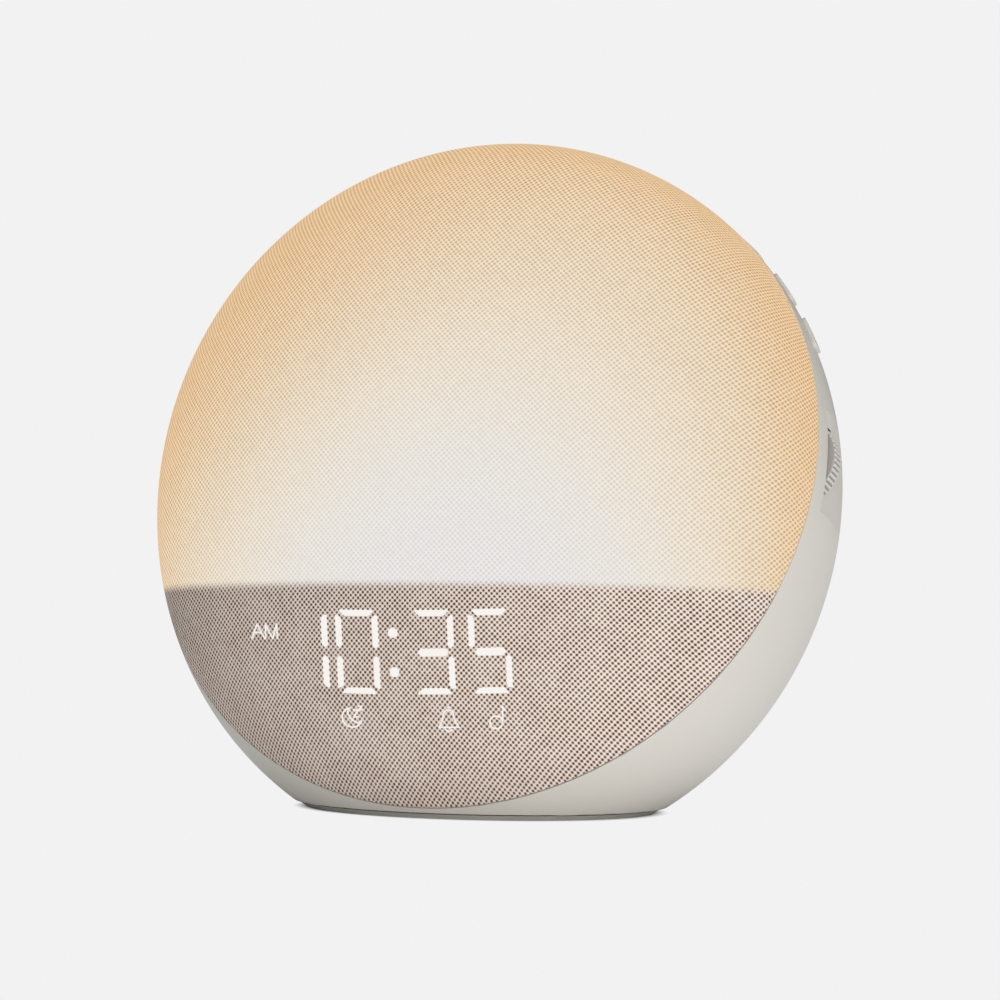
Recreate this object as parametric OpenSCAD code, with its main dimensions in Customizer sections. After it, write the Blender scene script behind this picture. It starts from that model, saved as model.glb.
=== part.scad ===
// Sunrise alarm clock: a pebble-shaped body on a flat foot. The cloth-covered front leans back
// and hides a light chamber above a clock display; keys and two thumb wheels sit behind its rim.
// Millimetres, +Z up, front towards -Y, origin under the middle of the pebble on the table.

/* [Form] */
// Radius of the pebble across its width
form_r = 87; // [82:1:92]
// Half thickness of the pebble along its own axis
form_axis = 56.7; // [54:0.1:60]
// How far the pebble's axis leans back, in degrees
form_tilt = 12.3; // [10:0.1:14]
// How much is cut off the bottom of the pebble, so that it stands flat
foot_cut = 12.3; // [11:0.1:13]

/* [Front] */
// How far the cloth face leans back, in degrees
face_tilt = 24.1; // [22:0.1:26]
// Distance of the parting plane in front of the pebble's centre
face_plane = 8.8; // [8.4:0.1:10]
// Width of the shadow gap between cloth and housing
seam_gap = 0.5; // [0.3:0.1:0.8]
// Thickness of the cloth
cloth_t = 0.8; // [0.5:0.1:1.2]
// Thickness of the dome that carries the cloth
dome_t = 1.8; // [1.4:0.1:2.4]
// Width of the flat margin on which the dome is clamped
rim_w = 5; // [4:0.5:7]

/* [Light chamber] */
// Height of the dividing shelf above the bottom of the face, along the face
shelf_rise = 56.8; // [54:0.1:59]
// Upward tilt of the dividing shelf, in degrees
shelf_tilt = 7; // [4:0.5:10]
// Thickness of the dividing shelf
shelf_t = 1.6; // [1.2:0.1:2.4]
// Radius of the round LED board
led_board_r = 56; // [52:1:60]
// Number of rings of LEDs
led_rings = 3; // [2:1:3]
// Number of LEDs in the innermost ring
led_count = 6; // [4:1:8]

/* [Clock display] */
// Sideways place of the colon
clock_x = 1; // [-2:0.5:3]
// Height of the digits' middle above the bottom of the face, along the face
clock_rise = 28.1; // [26:0.1:30]
// Height of a digit between the middles of its bars
digit_h = 15.8; // [13:0.1:16]
// Width of a digit between the middles of its bars
digit_w = 9.4; // [8:0.1:10]
// Distance between two neighbouring digits
digit_pitch = 13.8; // [13:0.1:14.5]
// Distance between the two digits beside the colon
colon_pitch = 19.2; // [18:0.1:20]
// Width of a lit bar
bar_w = 1.5; // [1.2:0.1:1.8]

/* [Housing] */
// Wall thickness of the housing
wall = 2.4; // [2:0.1:2.8]
// Thickness of the chassis plate behind the face
chassis_t = 1.8; // [1.4:0.1:2]
// Radius of the screw bosses
boss_r = 3.5; // [3:0.1:4]
// Radius of the self-tapping screws' thread
screw_r = 1.3; // [1.1:0.1:1.5]

/* [Foot] */
// Thickness of the soft pad under the base
pad_t = 1.2; // [0.8:0.1:1.6]
// Thickness of the base plate
base_t = 2; // [1.6:0.1:2.6]

/* [Keys] */
// Number of small keys on each shoulder
key_count = 3; // [2:1:3]
// Length of a small key along the rim
key_l = 9.2; // [8:0.1:10]
// Depth of a small key from front to back
key_d = 4.8; // [4.4:0.1:6]
// Height of a key above the housing
key_rise = 0.8; // [0.6:0.1:1.2]
// Travel of a key
key_travel = 0.6; // [0.4:0.1:0.7]
// Angle of the lowest key above the middle of the face, in degrees
key_first = 30.6; // [30:0.1:32]
// Angle between neighbouring keys, in degrees
key_step = 9.8; // [9.4:0.1:10.2]
// Length of the snooze bar on the crown
snooze_l = 44; // [38:1:46]
// Depth of the snooze bar from front to back
snooze_d = 11; // [9:0.1:11.5]

/* [Thumb wheels] */
// Radius of a thumb wheel
wheel_r = 11; // [10.4:0.1:11.4]
// Thickness of a thumb wheel
wheel_t = 4; // [3.4:0.1:4.2]
// Number of grooves round a thumb wheel
groove_count = 54; // [40:1:60]
// Radius of the spindle that a thumb wheel turns on
spindle_r = 2.5; // [2:0.1:3]
// How far a thumb wheel stands out of the housing
wheel_proud = 1.5; // [1:0.1:2]
// Height of the thumb wheels' centres above the pebble's centre, along the face
wheel_up = 10.5; // [9:0.1:12]
// Height of the flat thumb rest round a wheel
rest_h = 26; // [24:0.5:28]
// Depth of the flat thumb rest below the pebble's widest line
rest_depth = 3.5; // [3:0.1:4]

/* [Speaker and inlet] */
// Outer radius of the speaker's flange
speaker_r = 27; // [24:0.5:28]
// Depth of the speaker behind its flange
speaker_d = 22; // [18:0.5:24]
// Number of rings of holes in the speaker grille
grille_rings = 4; // [3:1:4]
// Radius of a hole in the speaker grille
grille_hole_r = 1.1; // [0.8:0.1:1.3]
// Height of the power inlet above the table
jack_z = 20; // [18:0.5:23]
// Radius of the pocket round the power inlet
jack_pocket_r = 7; // [6.5:0.1:7.5]
// Radius of the coin cell
cell_r = 10; // [8:0.5:10]
// Thickness of the coin cell
cell_t = 3.2; // [2:0.1:3.4]

/* [Hidden] */

// Colours
cloth_colour = [0.86, 0.76, 0.62];
shell_colour = [0.84, 0.82, 0.79];
pad_colour = [0.78, 0.77, 0.74];
dark_colour = [0.16, 0.15, 0.14];
board_colour = [0.12, 0.33, 0.2];
steel_colour = [0.7, 0.7, 0.72];

// Clearances
seat_gap = 0.2;          // between pieces that are clamped or glued face to face
key_gap = 0.25;          // round a key in its opening
fit_gap = 0.05;          // round a spindle
wheel_gap = 0.5;         // round a thumb wheel in its slot

// Places along the face's own axis
chassis_back = 4.6;
chassis_front = chassis_back + chassis_t;
housing_front = face_plane - seam_gap;
dome_back = face_plane + cloth_t + 0.1;
lean = face_tilt - form_tilt;                      // between the face's axis and the form's
centre_z = norm([form_r * cos(form_tilt), form_axis * sin(form_tilt)]) - foot_cut;
face_bottom = rim_radius(-90, face_plane);         // from the face's axis to its lower edge
shelf_drop = face_bottom - shelf_rise;
clock_drop = face_bottom - clock_rise;

// Insets from the outer form
dome_in = cloth_t + 0.1;
chamber_in = dome_in + dome_t;
cavity_in = wall + 0.3;

// Screw heads
head_r = 2 * screw_r;
head_h = 0.8;
head_room_r = head_r + 0.4;

reach = 300;             // larger than the whole clock
band_step = 5;           // angle of one band of the form's outline
curve_fn = 96;

// ---- Frames -----------------------------------------------------------------------------

// x across, y up along the form, z along the form's axis towards the front
module in_form() {
    translate([0, 0, centre_z]) rotate([90 - form_tilt, 0, 0]) children();
}

// x across, y up along the face, z along the face's axis towards the front
module in_face() {
    translate([0, 0, centre_z]) rotate([90 - face_tilt, 0, 0]) children();
}

// x across, y upwards from the shelf, z forwards along it
module in_shelf() {
    in_face() translate([0, -shelf_drop, 0]) rotate([face_tilt - shelf_tilt, 0, 0]) children();
}

// The pebble, shrunk by inset on every side
module form_solid(inset = 0) {
    in_form() rotate_extrude($fn = curve_fn)
        polygon([for (a = [-90 : band_step : 90])
            [(form_r - inset) * cos(a), (form_axis - inset) * sin(a)]]);
}

// Everything between two planes across the face's axis
module face_slab(low, high) {
    in_face() translate([-reach / 2, -reach / 2, low]) cube([reach, reach, high - low]);
}

module above_shelf(gap) {
    in_shelf() translate([-reach / 2, gap, -reach / 2]) cube(reach);
}

module below_shelf(gap) {
    in_shelf() translate([-reach / 2, -reach - gap, -reach / 2]) cube(reach);
}

module table_slab(low, high) {
    translate([-reach / 2, -reach / 2, low]) cube([reach, reach, high - low]);
}

// Rounded rectangle from exact arcs
module round_rect(w, h, r) {
    square([w - 2 * r, h], center = true);
    square([w, h - 2 * r], center = true);
    for (sx = [-1, 1], sy = [-1, 1])
        translate([sx * (w / 2 - r), sy * (h / 2 - r)]) circle(r, $fn = 32);
}

// Distance from the face's axis to the form's surface, at an angle and a place along the axis
function rim_radius(angle, h) =
    let (ia = 1 / pow(form_r, 2), ib = 1 / pow(form_axis, 2),
         a = pow(cos(angle), 2) * ia
            + pow(sin(angle), 2) * (pow(cos(lean), 2) * ia + pow(sin(lean), 2) * ib),
         b = 2 * h * sin(angle) * sin(lean) * cos(lean) * (ia - ib),
         c = pow(h, 2) * (pow(sin(lean), 2) * ia + pow(cos(lean), 2) * ib) - 1)
    (-b + sqrt(b * b - 4 * a * c)) / (2 * a);

function rim_point(angle, h) =
    [rim_radius(angle, h) * cos(angle), rim_radius(angle, h) * sin(angle), h];

// Outward direction of the form's surface at a point, all in the face's frame
function form_normal(p) =
    let (up = (p.y * cos(lean) + p.z * sin(lean)) / pow(form_r, 2),
         out = (p.z * cos(lean) - p.y * sin(lean)) / pow(form_axis, 2),
         v = [p.x / pow(form_r, 2), up * cos(lean) - out * sin(lean),
              out * cos(lean) + up * sin(lean)])
    v / norm(v);

// The form's outline at a height above the table, an ellipse: its middle in y, and its half
// widths in x and y
function level_outline(z) =
    let (ia = 1 / pow(form_r, 2), ib = 1 / pow(form_axis, 2), dz = z - centre_z,
         a = pow(sin(form_tilt), 2) * ia + pow(cos(form_tilt), 2) * ib,
         b = sin(form_tilt) * cos(form_tilt) * dz * (ia - ib),
         c = pow(dz, 2) * (pow(cos(form_tilt), 2) * ia + pow(sin(form_tilt), 2) * ib) - 1)
    [-b / a, sqrt((b * b / a - c) / ia), sqrt(b * b - a * c) / a];

// Rearmost point of the form in the middle plane, at a height above the table
function back_y(z) = level_outline(z)[0] + level_outline(z)[2];

// ---- Front ------------------------------------------------------------------------------

module front_cloth() {
    color(cloth_colour) {
        difference() {
            form_solid(0);
            form_solid(cloth_t);
            face_slab(-reach, face_plane);
        }
        // The hem, turned in behind the dome's edge
        difference() {
            intersection() {
                form_solid(cloth_t / 2);
                face_slab(face_plane, face_plane + cloth_t);
            }
            form_solid(rim_w);
        }
    }
}

module dome_shell() {
    difference() {
        form_solid(dome_in);
        difference() {
            form_solid(chamber_in);
            // A flat margin inside the edge, on which the dome is clamped
            difference() {
                face_slab(dome_back - 1, dome_back + dome_t);
                form_solid(rim_w);
            }
        }
        face_slab(-reach, dome_back);
    }
}

module diffuser_dome() {
    color([0.97, 0.96, 0.92]) intersection() {
        dome_shell();
        above_shelf(shelf_t / 2 + seat_gap);
    }
}

module display_window() {
    color([0.35, 0.31, 0.29]) intersection() {
        dome_shell();
        below_shelf(shelf_t / 2 + seat_gap);
    }
}

// Dark clamping ring, which shows as the line between cloth and housing
module rim_ring() {
    color(dark_colour) difference() {
        union() {
            intersection() {
                form_solid(cavity_in);
                face_slab(chassis_front, face_plane);
            }
            intersection() {
                form_solid(cloth_t);
                face_slab(housing_front + seat_gap, face_plane);
            }
        }
        form_solid(rim_w + wall);
        ring_notches();
        at_bosses() translate([0, 0, chassis_front - 1]) {
            cylinder(r = head_room_r, h = head_h + 1.4, $fn = 32);
            translate([-rim_w - wall, -head_room_r, 0])
                cube([rim_w + wall, 2 * head_room_r, head_h + 1.4]);
        }
    }
}

// Where the ring leaves room for the walls of the thumb rests
module ring_notches() {
    intersection() {
        thumb_rests(wall + 0.3);
        face_slab(-reach, housing_front + seat_gap);
    }
}

module divider_shelf() {
    color([0.9, 0.9, 0.88]) difference() {
        intersection() {
            form_solid(cloth_t + seat_gap);
            in_shelf() translate([-reach / 2, -shelf_t / 2, -reach / 2])
                cube([reach, shelf_t, reach]);
            face_slab(chassis_front, reach);
        }
        // Its sides stop inside the clamping ring and the hem
        difference() {
            face_slab(chassis_front - 1, dome_back + dome_t + seat_gap);
            form_solid(rim_w + wall + seat_gap);
        }
    }
}

// ---- Light chamber ----------------------------------------------------------------------

led_back = chassis_front;
led_board_t = 1.6;
led_front = led_back + led_board_t;
reflector_t = 1;
led_ring_r = (led_board_r - 8) / 3;
face_centre_up = 3;      // the face's outline is centred a little above the pebble's axis

// Places of the LEDs that lie above the shelf
led_places = [for (ring = [1 : led_rings], i = [0 : led_count * ring - 1])
    let (a = 90 + 360 * i / (led_count * ring),
         x = ring * led_ring_r * cos(a), y = ring * led_ring_r * sin(a) + face_centre_up)
    if (y > -shelf_drop + 5) [x, y]];

module led_board() {
    color([0.93, 0.93, 0.9]) intersection() {
        in_face() translate([0, face_centre_up, led_back])
            cylinder(r = led_board_r, h = led_board_t, $fn = curve_fn);
        above_shelf(shelf_t / 2 + seat_gap);
    }
}

module leds() {
    color([1, 0.9, 0.55]) in_face() for (p = led_places)
        translate([p.x - 1.4, p.y - 1.75, led_front]) cube([2.8, 3.5, 1.2]);
}

// White dish: a floor with a hole for each LED, and a wall that opens towards the dome
module reflector() {
    lip_r = led_board_r + 14;
    lip_z = led_front + 7;
    color([0.97, 0.97, 0.96]) difference() {
        intersection() {
            in_face() translate([0, face_centre_up, 0]) rotate_extrude($fn = curve_fn)
                polygon([[0, led_front], [led_board_r, led_front], [lip_r, lip_z],
                         [lip_r, lip_z + reflector_t], [led_board_r - 1, led_front + reflector_t],
                         [0, led_front + reflector_t]]);
            above_shelf(shelf_t / 2 + seat_gap);
        }
        in_face() for (p = led_places)
            translate([p.x, p.y, led_front - 1]) cylinder(r = 2.6, h = reflector_t + 2, $fn = 24);
    }
}

// ---- Clock display ----------------------------------------------------------------------

standoff_l = 4;
display_back = chassis_front + standoff_l;
display_board_t = 1.6;
block_back = display_back + display_board_t;
digits_reach = colon_pitch / 2 + digit_pitch + digit_w / 2;
block_w = 2 * (digits_reach + 2.6);
block_h = digit_h + 9.4;
block_s = -clock_drop - 3;           // middle of the block, which also holds the icons' guides
bar_gap = 0.55;
icon_s = -clock_drop - digit_h / 2 - 4.9;
icon_offsets = [-13.5, 12.2, 24];    // from the colon: sleep, alarm and sound
icon_r = 1.8;
half_day_w = 8.4;                    // light beside the digits for the half of the day
half_day_h = 3.4;
half_day_gap = 4.1;
half_day_x = clock_x - digits_reach - half_day_gap - half_day_w / 2;
half_day_s = -clock_drop + 3.2;

// One bar with pointed ends, lying along x
module bar(length) {
    half = length / 2;
    side = bar_w / 2;
    polygon([[-half, 0], [-half + side, side], [half - side, side],
             [half, 0], [half - side, -side], [-half + side, -side]]);
}

// The seven bars of a digit
module digit_bars() {
    across = digit_w - 2 * bar_gap;
    down = digit_h / 2 - 2 * bar_gap;
    for (y = [-digit_h / 2, 0, digit_h / 2]) translate([0, y]) bar(across);
    for (x = [-digit_w / 2, digit_w / 2], y = [-digit_h / 4, digit_h / 4])
        translate([x, y]) rotate(90) bar(down);
}

digit_xs = [for (side = [-1, 1], i = [0, 1]) side * (colon_pitch / 2 + i * digit_pitch)];

// Everything that lights up, as seen from the front
module lit_shapes() {
    for (x = digit_xs) translate([clock_x + x, -clock_drop]) digit_bars();
    for (y = [-1, 1]) translate([clock_x, -clock_drop + y * digit_h / 4])
        circle(bar_w * 0.8, $fn = 24);
    for (offset = icon_offsets) translate([clock_x + offset, icon_s]) circle(icon_r, $fn = 24);
    translate([half_day_x, half_day_s]) square([half_day_w, half_day_h], center = true);
}

// Outline of the block and its board, with an ear for the light beside the digits
module block_outline() {
    ear_w = clock_x - half_day_x - block_w / 2 + half_day_w;
    translate([clock_x, block_s]) round_rect(block_w, block_h, 4);
    translate([clock_x - block_w / 2 - ear_w / 2 + 2.5, half_day_s])
        round_rect(ear_w, half_day_h + 3, 1.5);
}

module display_segments() {
    color([1, 1, 1]) intersection() {
        in_face() translate([0, 0, block_back]) linear_extrude(reach / 3) lit_shapes();
        form_solid(chamber_in + seat_gap);
    }
}

module display_block() {
    color(dark_colour) difference() {
        intersection() {
            in_face() translate([0, 0, block_back]) linear_extrude(reach / 3) block_outline();
            form_solid(chamber_in + seat_gap);
        }
        in_face() translate([0, 0, block_back - 1]) linear_extrude(reach / 3) lit_shapes();
    }
}

board_post_xs = [clock_x - block_w / 2 + 6, clock_x + block_w / 2 - 6];
board_post_ss = [block_s - block_h / 2 + 4, block_s + block_h / 2 - 4];

module display_board() {
    color(board_colour) in_face() translate([0, 0, display_back])
        linear_extrude(display_board_t) block_outline();
}

// ---- Keys -------------------------------------------------------------------------------

key_front = 2;           // front edge of the keys along the face's axis
flange_front = 0.2;      // how far a key's inner flange reaches past the key, at the front
flange_back = 1.2;
flange_side = 0.6;
flange_t = 0.8;
corner_r = 1.6;
snooze_angle = 90;
switch_w = 5;
switch_back = 1;         // from the middle of a key to the middle of its switch
switch_h = 2.4;
plunger_r = 1.6;
plunger_h = 0.7;
plunger_gap = 0.1;       // left under a key that is pressed home
key_board_t = 1.2;

function key_angle(i) = key_first + i * key_step;

// Depth of a key's lower face: the wall, the drop of the wall over the key's length, clearance
function key_depth(length) = wall + 1.8 + pow(length, 2) / (8 * (form_r - wall));

// Frame of a key of depth d: x towards the back, y along the rim, z out of the surface
module in_key(angle, d) {
    p = rim_point(angle, key_front - d / 2);
    out = form_normal(p);
    in_face() translate(p) rotate([0, acos(out.z), atan2(out.y, out.x)]) children();
}

module key_opening(angle, length, d) {
    in_key(angle, d) translate([0, 0, -wall * 4]) linear_extrude(wall * 8)
        round_rect(d + 2 * key_gap, length + 2 * key_gap, corner_r + key_gap);
}

module key_openings() {
    key_opening(snooze_angle, snooze_l, snooze_d);
    for (side = [0, 1], i = [0 : key_count - 1])
        mirror([side, 0, 0]) key_opening(key_angle(i), key_l, key_d);
}

// A cap whose top follows the form, with a flange that keeps it in the housing
module key_cap(angle, length, d) {
    depth = key_depth(length);
    color(shell_colour) {
        intersection() {
            form_solid(-key_rise);
            in_key(angle, d) translate([0, 0, -depth]) linear_extrude(depth * 3)
                round_rect(d, length, corner_r);
        }
        in_key(angle, d) translate([(flange_back - flange_front) / 2, 0, -depth])
            linear_extrude(flange_t)
                round_rect(d + flange_front + flange_back, length + 2 * flange_side, corner_r);
    }
}

module snooze_bar() key_cap(snooze_angle, snooze_l, snooze_d);
module key_right_1() key_cap(key_angle(0), key_l, key_d);
module key_right_2() key_cap(key_angle(1), key_l, key_d);
module key_right_3() key_cap(key_angle(key_count - 1), key_l, key_d);
module key_left_1() mirror([1, 0, 0]) key_right_1();
module key_left_2() mirror([1, 0, 0]) key_right_2();
module key_left_3() mirror([1, 0, 0]) key_right_3();

board_edge = 1.3;        // how far a key board reaches past its keys
board_tail = 0.8;        // how far it reaches past its switches
socket_depth = 1.6;
socket_wall = 1.2;

// How far the switches' board lies under the surface
function key_board_z(length) = key_depth(length) + key_travel + plunger_gap + plunger_h + switch_h;

// A slab at the height of a switch board, from the chassis to behind the switches
module board_slab(angle, length, d, w, t) {
    tail = switch_back + switch_w / 2 + board_tail;
    in_key(angle, d) translate([tail - form_r, -w / 2, -key_board_z(length) - (key_board_t + t) / 2])
        cube([form_r, w, t]);
}

module switch_board(angle, length, d) {
    intersection() {
        board_slab(angle, length, d, length + 2 * board_edge, key_board_t);
        face_slab(-reach, chassis_back);
    }
}

// Groove of width w on the back of the chassis that holds the front edge of a switch board
module board_socket(angle, length, d, w) {
    intersection() {
        difference() {
            board_slab(angle, length, d, w, key_board_t + 2 * socket_wall);
            board_slab(angle, length, d, w + 1, key_board_t + seat_gap);
        }
        face_slab(chassis_back - socket_depth, chassis_back + chassis_t / 2);
    }
}

module board_sockets() {
    for (i = [0 : key_count - 1], side = [0, 1])
        mirror([side, 0, 0]) board_socket(key_angle(i), key_l, key_d, key_l);
    board_socket(snooze_angle, snooze_l, snooze_d, snooze_l / 3);
}

module key_board_right() {
    color(board_colour)
        for (i = [0 : key_count - 1]) switch_board(key_angle(i), key_l, key_d);
}

module key_board_left() mirror([1, 0, 0]) key_board_right();

module key_board_top() {
    color(board_colour) switch_board(snooze_angle, snooze_l, snooze_d);
}

// Push switch under a key: a square body and a round plunger
module push_switch(angle, length, d, shift) {
    in_key(angle, d) translate([switch_back, shift, -key_board_z(length)]) {
        translate([-switch_w / 2, -switch_w / 2, 0]) cube([switch_w, switch_w, switch_h]);
        cylinder(r = plunger_r, h = switch_h + plunger_h, $fn = 24);
    }
}

module key_switches() {
    color(dark_colour) {
        for (i = [0 : key_count - 1], side = [0, 1])
            mirror([side, 0, 0]) push_switch(key_angle(i), key_l, key_d, 0);
        for (side = [-1, 1]) push_switch(snooze_angle, snooze_l, snooze_d, side * snooze_l / 4);
    }
}

// ---- Thumb wheels -----------------------------------------------------------------------

wheel_front = 3.2;                                  // front face along the face's axis
wheel_back = wheel_front - wheel_t;
rest_front = wheel_front + 0.8;
rest_x = form_r - rest_depth;                       // the flat of the thumb rest
wheel_x = rim_radius(asin(wheel_up / form_r), 1) * cos(asin(wheel_up / form_r))
    + wheel_proud - wheel_r;
carrier_top = wheel_back - 0.6;
carrier_t = 1.6;
carrier_w = 16;
carrier_h = 2 * wheel_r + 2;
post_r = 1.8;
post_x = rest_x - wall - 0.5 - carrier_w + post_r + 1.2;

// Both thumb rests: flats behind a step, made larger by grow for the inside of the wall
module thumb_rests(grow) {
    for (side = [0, 1]) mirror([side, 0, 0]) in_face()
        translate([rest_x - grow, wheel_up - rest_h / 2 - grow, -reach / 2])
            cube([reach, rest_h + 2 * grow, reach / 2 + rest_front + grow]);
}

module wheel_slots() {
    for (side = [0, 1]) mirror([side, 0, 0]) in_face()
        translate([wheel_x, wheel_up, wheel_back - wheel_gap])
            cylinder(r = wheel_r + wheel_gap, h = wheel_t + 2 * wheel_gap, $fn = curve_fn);
}

// Grooved rim with bevelled edges on a hub that turns on its spindle
module wheel_right() {
    bevel = 0.4;
    hub_r = spindle_r + 1.5;
    groove_r = 0.42;
    color([0.8, 0.79, 0.76]) in_face() translate([wheel_x, wheel_up, 0]) difference() {
        union() {
            translate([0, 0, wheel_back]) rotate_extrude($fn = curve_fn)
                polygon([[0, 0], [wheel_r - bevel, 0], [wheel_r, bevel],
                         [wheel_r, wheel_t - bevel], [wheel_r - bevel, wheel_t], [0, wheel_t]]);
            translate([0, 0, carrier_top + 0.1])
                cylinder(r = hub_r, h = chassis_back - carrier_top - 0.4, $fn = 48);
        }
        translate([0, 0, carrier_top - 1])
            cylinder(r = spindle_r + fit_gap, h = chassis_back - carrier_top + 2, $fn = 48);
        for (i = [0 : groove_count - 1]) rotate(i * 360 / groove_count)
            translate([wheel_r + 0.12, 0, wheel_back - 1])
                cylinder(r = groove_r, h = wheel_t + 2, $fn = 16);
    }
}

module wheel_left() mirror([1, 0, 0]) wheel_right();

// Encoder plate with the wheel's spindle, held on two posts behind the chassis
module wheel_carrier_right() {
    color(dark_colour) in_face() {
        translate([rest_x - wall - 0.5 - carrier_w / 2, wheel_up, carrier_top - carrier_t])
            linear_extrude(carrier_t) round_rect(carrier_w, carrier_h + 4, 1.5);
        translate([wheel_x, wheel_up, carrier_top - 4])
            cylinder(r = spindle_r + 1.1, h = 3.5, $fn = 48);
        translate([wheel_x, wheel_up, carrier_top - 0.5])
            cylinder(r = spindle_r, h = chassis_back - carrier_top + 0.5, $fn = 48);
        for (side = [-1, 1])
            translate([post_x, wheel_up + side * carrier_h / 2, carrier_top - 0.5])
                cylinder(r = post_r, h = chassis_back - carrier_top + 0.5, $fn = 32);
    }
}

module wheel_carrier_left() mirror([1, 0, 0]) wheel_carrier_right();

// ---- Chassis and housing ----------------------------------------------------------------

boss_radius = form_r - 10;
boss_depth = 16;
side_boss = -asin((shelf_drop - 4.7) / boss_radius);   // the side screws stay above the shelf
boss_angles = [side_boss, 65, 115, 180 - side_boss, 240, 300];

module at_bosses() {
    for (a = boss_angles) in_face() rotate(a) translate([boss_radius, 0, 0]) children();
}

rib_h = 5;
rib_t = 1.6;
rib_margin = 47;                     // from the rim to the ribs' ends
rib_reach = form_r - rib_margin;
rib_ring_r = 0.75 * rib_reach;

// Six ribs and a ring on the back of the chassis, and sockets for the edges of the key boards
module chassis_ribs() {
    in_face() translate([0, 0, chassis_back - rib_h]) {
        for (a = [0, 60, 120]) rotate(a)
            translate([-rib_reach, -rib_t / 2, 0])
                cube([2 * rib_reach, rib_t, rib_h + chassis_t / 2]);
        difference() {
            cylinder(r = rib_ring_r + rib_t, h = rib_h + chassis_t / 2, $fn = curve_fn);
            translate([0, 0, -1]) cylinder(r = rib_ring_r, h = 2 * rib_h, $fn = curve_fn);
        }
    }
    board_sockets();
}

module chassis() {
    color([0.88, 0.87, 0.84]) difference() {
        union() {
            difference() {
                intersection() {
                    form_solid(cavity_in);
                    face_slab(chassis_back, chassis_front);
                }
                table_slab(-reach, base_top + 0.5);
            }
            // Standoffs under the display board
            in_face() for (x = board_post_xs, s = board_post_ss)
                translate([x, s, chassis_front - 0.5])
                    cylinder(r = 2.5, h = standoff_l + 0.5, $fn = 32);
            chassis_ribs();
        }
        thumb_rests(wall + 0.3);
        at_bosses() translate([0, 0, chassis_back - 1])
            cylinder(r = screw_r + 0.2, h = chassis_t + 2, $fn = 32);
        // Window for the leads behind the LED board
        in_face() translate([0, 12, chassis_back - rib_h - 1])
            cylinder(r = 6, h = rib_h + chassis_t + 2, $fn = 48);
    }
}

// Screw boss with the web that joins it to the wall
module wall_boss(angle) {
    in_face() rotate(angle) {
        translate([boss_radius, 0, chassis_back - boss_depth])
            cylinder(r = boss_r, h = boss_depth, $fn = 32);
        translate([boss_radius, -1, chassis_back - boss_depth])
            cube([form_r, 2, boss_depth]);
    }
}

base_top = pad_t + base_t;
base_boss_h = 12;
base_boss_inset = 10;
base_bosses = let (o = level_outline(base_top)) [for (a = [35, 145, 215, 325])
    [(o[1] - base_boss_inset) * cos(a), o[0] + (o[2] - base_boss_inset) * sin(a)]];

module base_boss(p) {
    translate([p.x, p.y, base_top + seat_gap])
        cylinder(r = boss_r, h = base_boss_h, $fn = 32);
    translate([p.x > 0 ? p.x : p.x - form_r / 2, p.y - 1, base_top + seat_gap])
        cube([form_r / 2, 2, base_boss_h]);
}

// Speaker seat: a ring on the inside of the back, in the form's frame
seat_face = -(form_axis - wall) + 5;
seat_w = 4.2;

jack_floor = back_y(jack_z - jack_pocket_r) - 1;
jack_r = 4;
jack_flange_t = 1.4;
cup_r = jack_pocket_r + wall;
cup_flange_w = 2;
cup_flange_t = 1.2;

module along_back(z) {
    translate([0, 0, z]) rotate([-90, 0, 0]) children();
}

grille_r = speaker_r - seat_w - 0.2;
grille_t = wall / 2;
ledge_w = 2;
grille_step = (grille_r - ledge_w - 1.6 * grille_hole_r) / grille_rings;
grille_places = concat([[0, 0]], [for (ring = [1 : grille_rings], i = [0 : 6 * ring - 1])
    ring * grille_step * [cos(60 * i / ring), sin(60 * i / ring)]]);

module rear_housing() {
    color(shell_colour) difference() {
        union() {
            difference() {
                form_solid(0);
                difference() {
                    form_solid(wall);
                    thumb_rests(wall);
                }
            }
            intersection() {
                form_solid(wall / 2);
                union() {
                    for (a = boss_angles) wall_boss(a);
                    for (p = base_bosses) base_boss(p);
                    in_form() translate([0, 0, -form_axis]) difference() {
                        cylinder(r = speaker_r + 1, h = form_axis + seat_face, $fn = curve_fn);
                        translate([0, 0, -1])
                            cylinder(r = speaker_r - seat_w, h = form_axis + 9, $fn = curve_fn);
                    }
                }
            }
        }
        thumb_rests(0);
        wheel_slots();
        face_slab(housing_front, reach);
        table_slab(-reach, pad_t + 0.3);
        // Rebate for the base plate
        intersection() {
            form_solid(wall - 0.7);
            table_slab(0, base_top + seat_gap);
        }
        key_openings();
        // Screw holes
        at_bosses() translate([0, 0, chassis_back - boss_depth + 3])
            cylinder(r = screw_r - 0.1, h = boss_depth, $fn = 32);
        for (p = base_bosses) translate([p.x, p.y, base_top - 1])
            cylinder(r = screw_r - 0.1, h = base_boss_h - 2, $fn = 32);
        // Opening for the speaker, with a ledge on which its grille sits
        in_form() translate([0, 0, -form_axis - 1])
            cylinder(r = grille_r - ledge_w, h = form_axis / 2, $fn = curve_fn);
        difference() {
            in_form() translate([0, 0, -form_axis - 1])
                cylinder(r = grille_r + 0.1, h = form_axis / 2, $fn = curve_fn);
            form_solid(grille_t);
        }
        in_form() for (a = speaker_screw_angles) rotate(a)
            translate([speaker_screw_ring, 0, seat_face - 4]) cylinder(r = 0.9, h = 5, $fn = 24);
        // Hole for the inlet's cup
        along_back(jack_z) cylinder(r = cup_r + seat_gap, h = form_axis + 1, $fn = 64);
    }
}

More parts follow.
